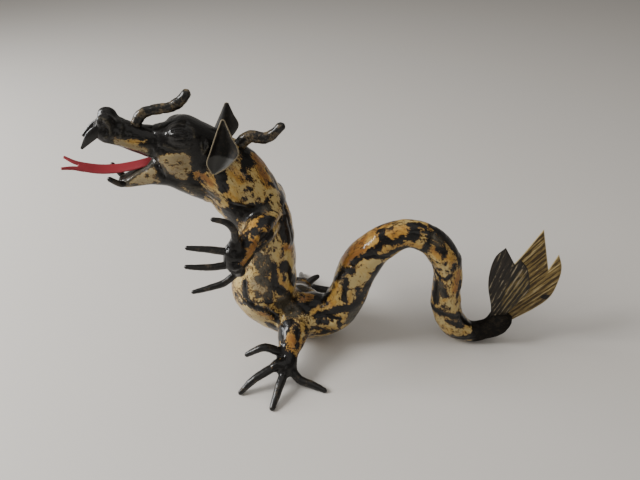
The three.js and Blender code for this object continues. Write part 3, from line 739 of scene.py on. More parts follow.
HEAD_CARVING = [
   
    (-0.8, 0.7, [(-77.5, -18.5, 155.5), (-74, -19, 159), (-70, -18, 159.5), (-66.5, -18.5, 158), (-65.5, -19, 156.5), (-68.5, -20.5, 155), (-73, -20.5, 155), (-77.5, -18.5, 155.5)]),
    (0.5, 0.7, [(-79.5, -17, 157), (-76, -14.5, 159.5), (-71, -13.5, 160.5), (-65.5, -14, 158.5), (-64, -17, 155.5)]),
    (-0.45, 0.5, [(-81, -16.5, 158), (-78, -11, 160.5), (-71.5, -10.5, 161.5), (-65.5, -11, 159), (-63, -15.5, 155.5)]),
    (0.35, 0.5, [(-83, -14, 159), (-82, -3, 159), (-72.5, -7.5, 162.5), (-65.5, -7, 159.5), (-62.5, -10.5, 157)]),
    (-0.5, 0.6, [(-78.5, -19.5, 153.5), (-73.5, -19.5, 151), (-67, -19, 152.5)]),
    (0.4, 0.6, [(-79.5, -20.5, 152), (-74, -19.5, 149), (-67, -18, 149.5)]),
    (-0.4, 0.5, [(-81.5, -21.5, 150.5), (-76, -20.5, 147), (-67, -18.5, 147)]),
    (0.7, 0.7, [(-61.5, -12.5, 154), (-59, -12, 152), (-58.5, -14, 149), (-60.5, -16, 146), (-61.5, -15.5, 149.5), (-61.5, -12.5, 154)]),
    (-0.5, 0.7, [(-60, -14.5, 150), (-60, -15, 148.5)]), (-1.2, 1.1, [(-106.5, -28, 166)]),
    (-0.9, 0.9, [(-106, -28, 163), (-105, -27.5, 161.5), (-105, -28, 159.5)]),
    (0.5, 0.8, [(-107, -27.5, 168), (-104, -27.5, 167), (-103, -27, 164), (-104, -27, 160), (-106.5, -28, 157.5)]),
    (-0.45, 0.6, [(-101.5, -25, 166.5), (-101, -23.5, 162.5), (-101.5, -26, 159.5)]),
    (-0.5, 0.7, [(-100, -18.5, 163.5), (-97.5, -22.5, 160.5), (-98, -25, 158)]),
    (0.35, 0.8, [(-101.5, -19.5, 164), (-99, -23, 161.5), (-99.5, -25.5, 158)]),
    (-0.4, 0.6, [(-97, -18, 161.5), (-94.5, -21, 159), (-95, -23.5, 157)]),
    (-0.5, 0.6, [(-104, -27, 157), (-96.5, -24.5, 156), (-88.5, -21.5, 155)]),
    (0.6, 0.8, [(-108.5, -26.5, 155.5), (-101, -25.5, 153.5), (-93, -23, 150), (-88.5, -21.5, 147)]),
    (-0.7, 0.8, [(-86, -22, 149.5), (-87.5, -18.5, 143), (-85, -19.5, 137.5), (-82.5, -21, 133.5)]),
    (0.5, 0.8, [(-84, -21, 147), (-82, -21.5, 141.5), (-81, -20, 134.5)]),
    (-0.5, 0.7, [(-83.5, -20, 136), (-79, -20, 132), (-73, -18.5, 129)]),
    (0.5, 0.8, [(-103, -24, 131), (-96, -21.5, 135), (-94, -10.5, 134)]),
    (-0.4, 0.6, [(-102, -24, 128), (-93.5, -22.5, 130.5), (-85.5, -21, 131.5)]),
    (-0.8, 1, [(-87.5, -15, 158.5), (-83.5, -20, 155.5), (-83, -21.5, 150.5)]),
]


def carve(points, normals, places, marks, mask, strength):
    """Push the points along their normals by every mark; the marks are drawn on the near side."""
    moved = np.zeros(len(points))
    for depth, width, line in marks:
        near = around(places, line, width * 3)
        near = near[mask[near]]
        d = line_distance(places[near], line)
        moved[near] += depth * np.exp(-((d / width) ** 2))
    return points + normals * moved[:, None] * strength, moved


normals = read_normals(skin.data)
swell = 0.7 * hand_noise(points, 13, 3) + 0.45 * hand_noise(points, 6.5, 5) + 0.14 * hand_noise(points, 2.6, 8)
swell *= np.where(is_head, 0.45, 1.0)
points = points + normals * swell[:, None]
points, _ = carve(points, normals, paint_place, CARVING, ~is_head, 1.4)
points, head_marks = carve(points, normals, near_side, HEAD_CARVING, is_head, 1.2)
points = smooth_skin(points, edges, 1)
points[:, 2] = np.maximum(points[:, 2], 0)
for place, facing in (((128.6, 6, 16), (0.96, -0.2, -0.2)), ((124, 3, 10), (0.45, -0.75, -0.5))):
    facing = unit(np.array(facing))
    past = np.maximum((points - place) @ facing, 0) * (points[:, 0] > 112)
    points -= past[:, None] * facing * 0.9
write_points(skin.data, points)
print("carved; deepest swell", round(float(np.abs(swell).max()), 2), "mm")

# %% [markdown]
# ## Paint the marbling
# The maker lays black over a cream ground and rubs it about along the body, with ochre and rust washed in.
# Each stroke has a kind, a half width and a line. Three values per point hold the result:
# `ink` runs from bare cream (-1) to solid black (1), `warm` from cream to rust, and a third darkens the cream to a
# greyish brown: painted shade on the kind of stroke that darkens bare cream, greyish marbling on the marble strokes.

# %% Lay the strokes
PAINT = [
    # The strokes of the darkened cream kind are painted shade on the cheeks, the jaw and the lower chest.
    ("tan", 1.7, [(-102, -26, 156), (-95, -24, 152), (-89, -22, 149)]),
    ("ochre", 0.8, [(-96, -25, 155), (-89, -22, 154)]),
    ("ink", 1.6, [(-87, -21, 147), (-86, -19, 138), (-83, -21, 134)]),
    ("tan", 3.3, [(-80.5, -22, 143.5), (-70, -19, 144)]), ("tan", 2.8, [(-78.5, -22, 138), (-70, -19, 138)]),
    ("tan", 1.6, [(-76, -20, 133.5), (-72, -19, 133)]), ("ink", 0.3, [(-79.5, -22, 143.5)]),
    ("ink", 0.3, [(-73, -20.5, 142.5)]), ("ink", 0.3, [(-77, -21.5, 139.5)]), ("ink", 0.3, [(-71, -18.5, 137)]),
    ("ink", 0.5, [(-83.5, -20, 136.5), (-78.5, -20.5, 132.5), (-74, -19, 129.5)]),
    ("tan", 2.6, [(-100, -24, 129.5), (-94, -23, 133), (-88.5, -21.5, 136)]),
    ("tan", 1.7, [(-102.5, -23.5, 128), (-95, -22.5, 129), (-87, -21.5, 131.5)]),
    ("ink", 0.4, [(-100, -24, 129.5), (-94.5, -20, 127.5), (-88, -21, 130)]), ("ink", 0.4, [(-91.5, -22, 134)]),
    ("ink", 1.4, [(-87, -18, 143), (-85, -20, 137), (-82, -21, 133), (-77, -19, 127)]),
    ("ink", 3.2, [(-63, -17, 144), (-62, -17, 138)]),
    ("marble", 2.8, [(-73, -18, 126), (-66, -16, 123), (-57, -17, 120)]),
    ("bare", 0.9, [(-73, -18, 125), (-66, -9, 113), (-55, -12, 107)]),
    ("ink", 0.4, [(-70.5, -17.5, 127.5), (-63.5, -14, 119.5), (-56, -14, 112.5)]),
    ("rust", 2.5, [(-66, -17, 134), (-61, -17, 132), (-58, -17, 130)]), ("ink", 0.4, [(-62, -17.5, 135.5)]),
    ("ink", 0.4, [(-64.5, -16.5, 131.5), (-62.5, -16.5, 129.5)]), ("ink", 0.4, [(-59, -17.5, 133.5)]),
    ("bare", 6.6, [(-44, -17, 127), (-37, -14, 123)]), ("bare", 4.5, [(-34, -13, 121), (-27, -8, 117)]),
    ("ochre", 3, [(-45, -15, 135), (-42, -15, 132)]), ("ochre", 1.9, [(-50, -18, 123), (-47, -18, 120)]),
    ("ink", 2.5, [(-52, -17, 136), (-52, -18, 130), (-52, -18, 127)]), ("ink", 3, [(-42, -4, 142), (-39, -8, 138)]),
    ("ink", 0.5, [(-41, -12.5, 136), (-37, -12.5, 129)]),
    ("rust", 2.8, [(-36, -2, 137), (-32, -5, 130), (-29, -6, 124)]), ("ink", 0.9, [(-28, -5, 124), (-24, 2, 117)]),
    ("ink", 0.4, [(-39.5, -15.5, 124.5), (-37.5, -14, 124.5)]),
    ("ink", 0.4, [(-37.5, -14, 124.5), (-35.5, -13, 125.5)]), ("ink", 0.3, [(-36.5, -14.5, 121)]),
    ("ink", 1, [(-41, -16, 119)]), ("ink", 0.7, [(-27.5, -8, 118), (-28.5, -10.5, 116.5)]),
    ("ink", 0.5, [(-33, -13, 118)]), ("ink", 0.8, [(-48.5, -17.5, 119), (-47, -17, 115.5)]),
    ("ink", 2.3, [(-47, -17, 115), (-40, -16, 113), (-33, -15, 113), (-29, -11, 113)]),
    ("ink", 4, [(-45, -16, 109), (-33, -19, 111)]), ("marble", 1.7, [(-30, -15, 112), (-28, -11, 112)]),
    ("bare", 1.4, [(-24, -6, 114), (-25, -15, 109)]), ("ink", 2.2, [(-30, -21, 109), (-27, -19, 108)]),
    ("ink", 1.8, [(-24, 3, 116), (-21, -4, 109), (-19, -5, 99), (-17, -4, 84)]),
    ("ochre", 1.5, [(-24, 21, 101), (-19, 3, 101), (-16, 2, 80)]), ("ink", 3.2, [(-51, -16, 110), (-50, -13, 98)]),
    ("ink", 3.9, [(-43, -42, 106), (-45, -44, 99)]), ("ochre", 1.6, [(-35, -23, 108.5), (-35, -29.5, 105.5)]),
    ("ochre", 1.2, [(-35, -32.5, 104), (-31, -31.5, 104)]), ("ochre", 0.9, [(-31, -20, 110), (-33.5, -22.5, 109)]),
    ("ink", 0.5, [(-34, -27.5, 107), (-34, -32, 104.5)]), ("ink", 2, [(-29, -23, 109), (-25.5, -22.5, 107.5)]),
    ("rust", 2.6, [(-32.5, -34.5, 101.5), (-35, -38, 98.5), (-38, -41, 95)]),
    ("bare", 0.7, [(-22, -9.5, 105.5), (-25.5, -23, 103.5), (-30.5, -31.5, 100)]),
    ("ink", 1.2, [(-22, -9, 102)]), ("ink", 1.2, [(-25, -22, 103), (-29, -30, 101), (-32, -34, 96)]),
    ("ink", 1.2, [(-45, -12, 71)]), ("ink", 2.5, [(-26, -25, 102), (-28, -29, 101)]), ("bare", 2.7, [(-23, -19, 101)]),
    ("bare", 2.7, [(-25, -13, 86), (-27, -14, 75)]), ("ink", 1.5, [(-25, -24, 101)]), ("ink", 1.5, [(-27, -14, 84)]),
    ("marble", 5.5, [(-35, -15, 80), (-32, -16, 71)]), ("ink", 2.8, [(-29, -26, 94)]),
    ("bare", 0.6, [(-27.5, -14, 86), (-28.5, -14.5, 82.5), (-31, -15, 81.5), (-33.5, -15.5, 83)]),
    ("bare", 0.6, [(-30, -32.5, 98.5), (-29.5, -30.5, 100.5), (-27.5, -28.5, 100)]),
    ("bare", 0.6, [(-28, -14.5, 89), (-27.5, -14, 86)]), ("bare", 0.6, [(-28, -25.5, 94.5)]),
    ("ink", 2.2, [(-22, -10, 98), (-20, -8, 90), (-17, -5, 82)]), ("rust", 2.2, [(-20, -10, 83), (-17, -6, 79)]),
    ("ink", 0.5, [(-21.5, -11, 82.5), (-21, -11, 76.5)]), ("bare", 2.9, [(-19, -9, 77), (-17, -5, 59)]),
    ("ochre", 2.5, [(-25, -14, 68), (-23, -13, 59), (-19, -8, 49)]),
    ("ink", 1.9, [(-21, -11, 71), (-18, -8, 61), (-17, -4, 51)]),
    ("ink", 0.7, [(-23, -12.5, 70.5), (-21.5, -11.5, 59.5)]), ("ink", 1.6, [(-27, -15, 73), (-27, -16, 56)]),
    ("marble", 5.7, [(-36, -17, 60), (-34, -17, 53)]), ("tan", 2.6, [(-40, -17, 58), (-34, -17, 55)]), ("ink", 2, [(-38, -40, 90)]),
    ("ink", 2, [(-46, -14, 57), (-45, -17, 46)]), ("ink", 3.4, [(-46, -44, 92), (-41, -44, 89)]), ("bare", 4.2, [(-52, -12, 54)]),
    ("bare", 2.7, [(-50, -14, 45), (-49, -15, 44)]),
    ("ink", 0.6, [(-58, -4.5, 44), (-50.5, -14, 46.5), (-45.5, -17, 42.5)]),
    ("ink", 0.6, [(-53, -12.5, 44.5), (-52, -13, 39.5), (-46.5, -17, 40)]),
    ("bare", 3, [(-46, -17, 37), (-41, -17, 26), (-36, -12, 14)]),
    ("ink", 1.6, [(-46, -17, 42), (-38, -19, 41), (-32, -18, 36), (-26, -16, 27)]),
    ("ink", 1, [(-42, -18, 45), (-35, -18, 45), (-30, -17, 45)]),
    ("bare", 0.5, [(-39.5, -18.5, 42.5), (-35, -18.5, 43)]),
    ("ink", 2, [(-27, -16, 56), (-21, -12, 48), (-15, -7, 35), (-8, -11, 32)]),
    ("rust", 1.4, [(-36, -19, 35), (-31, -17, 29)]), ("bare", 0.8, [(-34, -18, 30.5), (-31.5, -17.5, 26.5)]),
    ("ink", 3, [(-33, -16, 21), (-28, -15, 17)]), ("marble", 5.2, [(-23, -13, 42), (-17, -13, 34)]),
    ("ink", 3.7, [(-13, 9, 33), (-8, -6, 34), (-1, -2, 35)]), ("rust", 1.9, [(-11, -3, 36), (-6, -1, 35)]),
    ("ink", 2.7, [(-1, 1, 35), (7, -5, 42)]), ("ochre", 2, [(-3, -10, 30), (2, -7, 33), (10, -9, 40)]),
    ("ochre", 1.9, [(7, -6, 41), (12, -8, 50)]), ("ink", 0.6, [(2, -6.5, 33), (5.5, -7, 36)]),
    ("ink", 2.2, [(1, -10, 29), (9, -10, 33), (20, -11, 40)]), ("bare", 3.1, [(-2, -13, 24), (11, -12, 25)]),
    ("ink", 0.9, [(0, -12.5, 26), (8, -12, 26)]),
    ("ink", 0.7, [(-5, -16, 22.5), (3, -13.5, 20), (13.5, -9.5, 16), (14.5, -11.5, 29), (5, -10.5, 29.5), (-3.5, -11, 29)]),
    ("ink", 1.4, [(-4, -13, 14), (5, -12, 16), (13, -9, 16)]), ("bare", 1.1, [(-3, -12, 12), (6, -9, 10)]),
    ("marble", 4, [(21, -9, 25), (26, -8, 36)]), ("ochre", 2.2, [(13, -8, 54), (13, -9, 48)]),
    ("ink", 1.3, [(11, -5, 57), (15, -7, 65)]), ("ink", 1.4, [(18, -10, 60), (17, -11, 45)]),
    ("bare", 3.4, [(23, -11, 45), (23, -11, 59), (27, -11, 70), (36, -10, 76)]),
    ("ochre", 1, [(21, -11, 52), (20, -11, 42)]), ("ink", 0.6, [(25, -10.5, 55.5), (25, -10.5, 48.5)]),
    ("ink", 2.5, [(38, -8, 71), (33, -7, 58), (28, -9, 47), (23, -10, 38)]),
    ("marble", 2.7, [(31, -3, 41), (26, -3, 25)]), ("ink", 1.1, [(14, -4, 67), (19, -8, 72), (25, -10, 73)]),
    ("bare", 0.4, [(16, -7, 68), (22, -9, 72), (27.5, -10, 75.5)]), ("ink", 1.2, [(17, -8, 67), (22, -10, 69)]),
    ("rust", 4.9, [(17, -4, 73), (23, -6, 81), (30, -6, 88)]), ("ochre", 4.8, [(32, -6, 89), (39, -5, 94)]),
    ("ochre", 4.1, [(39, -6, 94), (50, -5, 97)]), ("rust", 1.5, [(32, -1, 92), (41, 0, 97)]),
    ("ink", 1.3, [(21, -8, 73), (27, -9, 79), (33, -10, 81), (41, -9, 80)]),
    ("ochre", 2, [(37, -10, 84), (44, -9, 87), (53, -7, 89), (60, -6, 87)]),
    ("ink", 1, [(41, -9, 80), (47, -8, 84), (56, -4, 84), (64, -4, 82)]),
    ("ink", 1.4, [(32, -9, 83), (36, -9, 87), (39, -8, 91), (44, -8, 90), (49, -7, 91)]),
    ("ink", 0.9, [(39, -7, 92), (41, -7, 92)]), ("ink", 2.1, [(55, -5, 95), (57, -6, 95)]),
    ("ink", 0.8, [(50, -7, 93), (54.5, -6.5, 92.5), (57, -6.5, 91)]), ("ink", 0.9, [(38, -5, 94), (37, -6, 92)]),
    ("ink", 0.5, [(35, -2.5, 94), (38.5, -2.5, 95.5), (43, -3, 97)]),
    ("ink", 0.6, [(32.5, 0.5, 92.5), (41, 1.5, 97), (49, 2.5, 99), (57.5, 4.5, 98.5)]),
    ("ink", 1.1, [(53, -2, 99), (59, -1, 99), (63, -2, 96), (66, -4, 94)]),
    ("ochre", 0.8, [(56, 2.5, 99), (62, 2.5, 98), (66, -1, 96)]),
    ("ink", 3.3, [(68, 2, 96), (75, 1, 91), (82, 1, 84), (87, 1, 75)]), ("marble", 2.4, [(68, -4, 92), (72, -4, 89)]),
    ("ink", 1.1, [(66, -5, 92), (64, -6, 86)]), ("rust", 2, [(69, -6, 84), (72, -5, 81)]),
    ("ochre", 3.6, [(74, -5, 82), (79, -4, 79), (80, -5, 73)]),
    ("ink", 1.1, [(71, -5, 85), (76, -5, 84), (76, -5, 80)]), ("bare", 3.1, [(76, -5, 71), (79, -5, 67)]),
    ("ink", 0.9, [(74, -4, 69)]), ("ink", 0.9, [(77, -5, 75)]), ("ink", 0.4, [(79, -5, 69)]),
    ("ink", 0.7, [(70, 1, 67.5), (72.5, -1, 64), (79, -4, 61), (83, -4, 66.5), (82.5, -4, 73)]),
    ("ink", 1.2, [(84, 0, 80), (88, 0, 69)]), ("rust", 2.5, [(87, -2, 66), (87, -3, 53)]),
    ("ink", 0.8, [(90, -0.5, 57.5), (89, -1, 46)]), ("ochre", 0.8, [(73, 2, 55.5), (74.5, 7.5, 34)]),
    ("ink", 2.5, [(74, 0, 53), (76, 0, 41)]), ("marble", 1.9, [(77, -3, 56), (79, -3, 47)]),
    ("ink", 0.9, [(79, -3, 51.5), (83, -3.5, 47)]), ("rust", 1.3, [(82, -3, 43)]),
    ("bare", 2.7, [(84, -3, 41), (89, -1, 35)]), ("ink", 0.7, [(85, -3, 37)]), ("ink", 0.7, [(81.5, -3, 38.5)]),
    ("ink", 2, [(76, 2, 33), (81, -2, 32), (91, -1, 29), (100, 4, 21)]), ("rust", 1, [(103, 5.5, 18)]),
    ("bare", 1.1, [(82, -1, 23), (88, -2, 20), (96, -1, 16), (109, 3, 13)]),
    ("ink", 1.3, [(86, -2.5, 25), (96, -0.5, 18.5)]), ("ink", 2.1, [(86, 4, 10), (95, 0, 8), (109, 1, 9)]),
    ("bare", 0.9, [(80.5, 4, 17), (87.5, 1.5, 11), (98, 2, 3.5)]), ("ink", 1.7, [(100, 4, 20), (109, 6, 16)]),
    ("ink", 6.8, [(114, 5, 17), (123, 2, 24)]), ("ink", 3.3, [(-19, -19, 30), (-23, -25, 25)]),
    ("rust", 2.6, [(-16, -28, 24), (-15, -33, 21)]), ("ochre", 1.8, [(-9, -20, 28), (-11, -28, 21), (-12, -35, 16)]),
    ("bare", 1.4, [(-6, -16, 25)]), ("bare", 1.4, [(-9, -24, 23)]), ("ink", 0.8, [(-12, -23, 27), (-11.5, -31.5, 19)]),
    ("ink", 2.6, [(-25, -26, 16), (-24, -37, 13)]), ("ink", 5.1, [(-19, -41, 18), (-13, -42, 15)]),
]
# Each kind: the ink it aims for, its warmth (None keeps the warmth) and how far it darkens the cream; that last is
# painted shade for the darkened cream kind and greyish marbling for marble.
KINDS = {"ink": (0.85, None, 0), "marble": (0.42, 0.05, 0.8), "bare": (-0.74, 0.06, 0), "tan": (-0.74, 0.06, 0.9), "ochre": (-0.68, 0.58, 0), "rust": (-0.6, 1.0, 0)}
SOFT_EDGE = 2.8

paw = np.minimum(np.linalg.norm(near_side - (-43, -39.5, 95), axis=1) - 11, np.linalg.norm(near_side - (-18, -41, 11), axis=1) - 7.5)
ink = np.where(is_head, 1.0, np.where(is_limb, np.clip(1 - paw / 3, 0.1, 1), -0.33))
warm = np.where(is_head, 0.2, np.where(is_limb, 0.45, 0.3))
painted_shade_and_grey = np.zeros(len(points))
wobble = 0.8 * hand_noise(paint_place, 3.2, 11) + 0.45 * hand_noise(paint_place, 1.4, 13)
for kind, width, line in PAINT:
    near = around(paint_place, line, width + SOFT_EDGE + 1.5)
    if len(line) > 1 or width > 1:
        under = np.argmin(np.linalg.norm(paint_place - line[0], axis=1))
        near = near[is_limb[near] == is_limb[under]]
    d = line_distance(paint_place[near], line) + wobble[near] * min(1, 0.3 + width / 4)
    share = np.clip((width - d) / SOFT_EDGE + 0.6, 0, 1)
    goal, glow, shade_and_grey_goal = KINDS[kind]
    ink[near] += (goal - ink[near]) * share
    painted_shade_and_grey[near] += (shade_and_grey_goal - painted_shade_and_grey[near]) * share
    if glow is not None:
        warm[near] += (glow - warm[near]) * share

knob = np.clip((points[:, 0] - 104 + 3 * wobble) / 3, 0, 1) * ~is_head * ~is_limb
ink = ink + (1.3 - ink) * knob
in_mouth = is_head & (np.abs(head_places[:, 1]) < 5.8) & (head_places[:, 0] < -14) & (head_places[:, 2] < -9.5) & (head_places[:, 2] > -30)
ink[in_mouth] = 1.2
# Painted shade: the far foot, tucked under the body, is painted brown-cream and then, through the matte value, darkened
# most of the way to matte near-black.
far_foot_shaded = np.clip(2.2 - np.linalg.norm(points - (-15, 27, 24), axis=1) / 8, 0, 1) * is_limb
ink = ink + (-0.1 - ink) * far_foot_shaded
warm = warm + (0.8 - warm) * far_foot_shaded
# The wear value: lighter brown on the head's raised carving, rubbed paint with painted highlights on the ridges; the
# strokes' painted shade and greyish marbling; and a painted reflection on the black lining of the mouth.
wear_and_painted_light = np.clip(head_marks * 4 - 0.25, 0, 1) * np.clip(0.8 + wobble, 0, 1) + painted_shade_and_grey + 0.7 * in_mouth
for name, values in (("ink", ink), ("warm", warm), ("matte_and_shade", knob + 0.75 * far_foot_shaded), ("wear_and_painted_light", wear_and_painted_light)):
    skin.data.attributes.new(name, "FLOAT", "POINT").data.foreach_set("value", values)
skin.data.attributes.new("grain", "FLOAT_VECTOR", "POINT").data.foreach_set("vector", grain.ravel())
print("strokes:", len(PAINT), " black share:", round(float((ink > 0).mean()), 2))

# %% [markdown]
# ## The paint's recipe
# Noise stretched along the grain breaks the strokes' edges into flecks and feathers. Where its sum with `ink` passes
# zero the colour turns black, with a thin brown stain on the way. The cream is pulled towards a darker greyish brown as
# painted shade, and the black towards brown where the paint is rubbed, with painted highlights on the head's ridges and
# a painted reflection in the mouth. A thick clear coat over everything gives the wet look; on the tail's knob it's
# missing, and on the far foot, darkened as painted shade, it's thin.

# %% Mix the body's paint
body = Recipe("marbled_acrylic")
grain_at = body.value("grain").outputs["Vector"]
ink_at = body.value("ink").outputs["Fac"]
warm_at = body.value("warm").outputs["Fac"]
matte_and_shade_at = body.value("matte_and_shade").outputs["Fac"]
broad = body.noise(grain_at, 0.28, 5.0, 0.68, 0.8)
fine = body.noise(grain_at, 0.9, 4.0, 0.7, 0.8)
flecks = body.noise(grain_at, 1.9, 3.0, 0.7, 0.3)
tone = body.noise(grain_at, 0.17, 3.0, 0.55)
crease = calc(body.tree, "ABSOLUTE", body.swing(body.noise(grain_at, 0.2, 5.0, 0.6, 1.5), 1.0))
field = body.sum(ink_at, body.swing(broad, 3.0), body.swing(fine, 2.9), body.swing(flecks, 1.5), body.range(crease, 0.0, 0.03, 0.45, 0.0))
warmth = body.sum(warm_at, body.swing(tone, 1.3), body.swing(fine, 1.0))
CREAM, OCHRE, RUST = (0.47, 0.365, 0.155), (0.41, 0.225, 0.042), (0.26, 0.11, 0.025)
light = body.ramp(warmth, [(0.0, CREAM), (0.35, (0.46, 0.31, 0.092)), (0.62, OCHRE), (1.0, RUST)])
wear_and_painted_light_at = body.value("wear_and_painted_light").outputs["Fac"]
# Painted shade: the cream darkens to a greyish brown where the wear value is high, as the darkened cream and marble
# strokes set it.
light = body.mix(body.range(wear_and_painted_light_at, 0.2, 0.9, 0.0, 0.75), light, (0.235, 0.195, 0.125))
stained = body.mix(body.range(field, -0.45, -0.06, smooth_step=True), light, (0.17, 0.088, 0.026))
dark = body.mix(body.range(flecks, 0.50, 0.7), (0.004, 0.0035, 0.0035), (0.016, 0.014, 0.011))
# The black turns brown where the wear value is high: rubbed paint with painted highlights on the head's ridges, and a
# painted reflection in the mouth.
wear_and_painted_light = body.mix(calc(body.tree, "MULTIPLY", wear_and_painted_light_at, body.range(fine, 0.36, 0.56)), dark, (0.085, 0.074, 0.050))
paint = body.mix(body.range(field, -0.07, 0.05, smooth_step=True), stained, wear_and_painted_light)
# Matte near-black: real paint on the tail's knob, painted shade on the far foot.
paint = body.mix(matte_and_shade_at, paint, body.mix(body.range(fine, 0.45, 0.7), (0.007, 0.0065, 0.006), (0.028, 0.022, 0.015)))
body.feed(body.shader.inputs["Base Color"], paint)
body.feed(body.shader.inputs["Roughness"], body.range(matte_and_shade_at, 0, 1, 0.42, 0.85))
body.feed(body.shader.inputs["Coat Weight"], body.range(matte_and_shade_at, 0, 1, 0.72, 0.0))
body.shader.inputs["Coat Roughness"].default_value = 0.06
body.shader.inputs["Coat IOR"].default_value = 1.36
body.shader.inputs["Specular IOR Level"].default_value = 0.1
body.bump(body.sum(body.swing(body.noise(grain_at, 0.5, 2.0), 1.0), body.swing(fine, 0.5), body.swing(crease, -0.5)), 0.45, 0.0007)
skin.data.materials.append(body.material)
ride_as(skin, "body")
print("body paint nodes:", len(body.tree.nodes))

# %% [markdown]
# ## Claws, horns and lower teeth
# Each is a rod of the same paste, rolled thin, bent, and pushed into the body: thickest at the root and blunt at
# the tip. One Geometry Nodes tree makes them all. It sweeps a circle along the drawn line; a formula on the place
# along the line gives the taper and the domed ends, and noise gives the dents that fingers leave.

# %% The node tree for a tapered rod
SOCKET_DEPTH = 2.8


def node(tree, kind, **settings):
    made = tree.nodes.new(kind)
    for name, value in settings.items():
        if name in made.inputs:
            made.inputs[name].default_value = value
        else:
            setattr(made, name, value)
    return made


def rod_tree():
    tree = bpy.data.node_groups.new("tapered_rod", "GeometryNodeTree")
    face = tree.interface
    face.new_socket("Geometry", in_out="INPUT", socket_type="NodeSocketGeometry")
    for name, value in (("Radius", 0.002), ("Tip Share", 0.55), ("Taper Power", 1.5), ("Dents", 0.0002), ("Seed", 0.0)):
        face.new_socket(name, in_out="INPUT", socket_type="NodeSocketFloat").default_value = value
    face.new_socket("Material", in_out="INPUT", socket_type="NodeSocketMaterial")
    face.new_socket("Geometry", in_out="OUTPUT", socket_type="NodeSocketGeometry")
    link = tree.links.new
    given = tree.nodes.new("NodeGroupInput").outputs
    line = node(tree, "GeometryNodeMeshToCurve")
    even = node(tree, "GeometryNodeResampleCurve", Count=72)
    link(given["Geometry"], line.inputs[0])
    link(line.outputs[0], even.inputs["Curve"])
    along = node(tree, "GeometryNodeSplineParameter").outputs["Factor"]
    length = node(tree, "GeometryNodeSplineLength").outputs["Length"]
    shrink = calc(tree, "MULTIPLY", calc(tree, "POWER", along, given["Taper Power"]), calc(tree, "SUBTRACT", 1.0, given["Tip Share"]))
    radius = calc(tree, "MULTIPLY", given["Radius"], calc(tree, "SUBTRACT", 1.0, shrink))
    end = calc(tree, "MULTIPLY", calc(tree, "MINIMUM", along, calc(tree, "SUBTRACT", 1.0, along)), length)
    short = calc(tree, "MAXIMUM", calc(tree, "SUBTRACT", 1.0, calc(tree, "DIVIDE", end, radius)), 0.0)
    dome = calc(tree, "SQRT", calc(tree, "MAXIMUM", calc(tree, "SUBTRACT", 1.0, calc(tree, "POWER", short, 2.0)), 0.05))
    kept = node(tree, "GeometryNodeStoreNamedAttribute", data_type="FLOAT", domain="POINT", Name="along")
    link(even.outputs[0], kept.inputs["Geometry"])
    link(along, kept.inputs["Value"])
    circle = node(tree, "GeometryNodeCurvePrimitiveCircle", Resolution=22, Radius=1.0)
    sweep = node(tree, "GeometryNodeCurveToMesh")
    sweep.inputs["Fill Caps"].default_value = True
    link(kept.outputs[0], sweep.inputs["Curve"])
    link(circle.outputs[0], sweep.inputs["Profile Curve"])
    link(calc(tree, "MULTIPLY", radius, dome), sweep.inputs["Scale"])
    noise = node(tree, "ShaderNodeTexNoise", noise_dimensions="4D", Scale=260.0, Detail=2.0, Roughness=0.55)
    link(node(tree, "GeometryNodeInputPosition").outputs[0], noise.inputs["Vector"])
    link(given["Seed"], noise.inputs["W"])
    depth = calc(tree, "MULTIPLY", calc(tree, "SUBTRACT", noise.outputs[0], 0.58), given["Dents"])
    push = node(tree, "ShaderNodeVectorMath", operation="SCALE")
    link(node(tree, "GeometryNodeInputNormal").outputs[0], push.inputs[0])
    link(depth, push.inputs["Scale"])
    moved = node(tree, "GeometryNodeSetPosition")
    link(sweep.outputs[0], moved.inputs["Geometry"])
    link(push.outputs[0], moved.inputs["Offset"])
    soft = node(tree, "GeometryNodeSetShadeSmooth")
    whole = node(tree, "GeometryNodeRealizeInstances")
    painted = node(tree, "GeometryNodeSetMaterial")
    link(moved.outputs[0], soft.inputs[0])
    link(soft.outputs[0], whole.inputs[0])
    link(whole.outputs[0], painted.inputs["Geometry"])
    link(given["Material"], painted.inputs["Material"])
    link(painted.outputs[0], tree.nodes.new("NodeGroupOutput").inputs[0])
    return tree


rods = rod_tree()
rod_sockets = {item.name: item.identifier for item in rods.interface.items_tree if item.in_out == "INPUT"}
print("rod inputs:", list(rod_sockets))

# %% Sweep every rod
def rod(name, places, radius, tip_share, power, dents, seed, paint):
    """One swept rod as a plain mesh, riding with the part in the place of its node."""
    line = to_part(smooth(places, np.linspace(0, 1, 60)))
    made = plain_mesh(name + "_line", line, [])
    made.data.edges.add(len(line) - 1)
    made.data.edges.foreach_set("vertices", np.stack([np.arange(len(line) - 1), np.arange(1, len(line))], 1).ravel())
    made.data.update()
    sweep = made.modifiers.new("rod", "NODES")
    sweep.node_group = rods
    values = (("Radius", radius * MM), ("Tip Share", tip_share), ("Taper Power", power), ("Dents", dents * MM), ("Seed", seed), ("Material", paint))
    for socket, value in values:
        sweep[rod_sockets[socket]] = value
    swept = evaluated(made, name + "_paste")
    resting = read_points(swept.data)
    resting[:, 2] = np.maximum(resting[:, 2], 0)
    write_points(swept.data, resting)
    ride_as(swept, name)
    return swept


def lengthen(places, back, ahead):
    """The places with both ends moved outwards."""
    places = np.array(places, float)
    first = places[0] + unit(places[0] - places[1]) * back
    last = places[-1] + unit(places[-1] - places[-2]) * ahead
    return np.vstack([first, places[:-1] if len(places) > 2 else places[:1], last]) if back > 1 else np.vstack([first, places[1:-1], last])


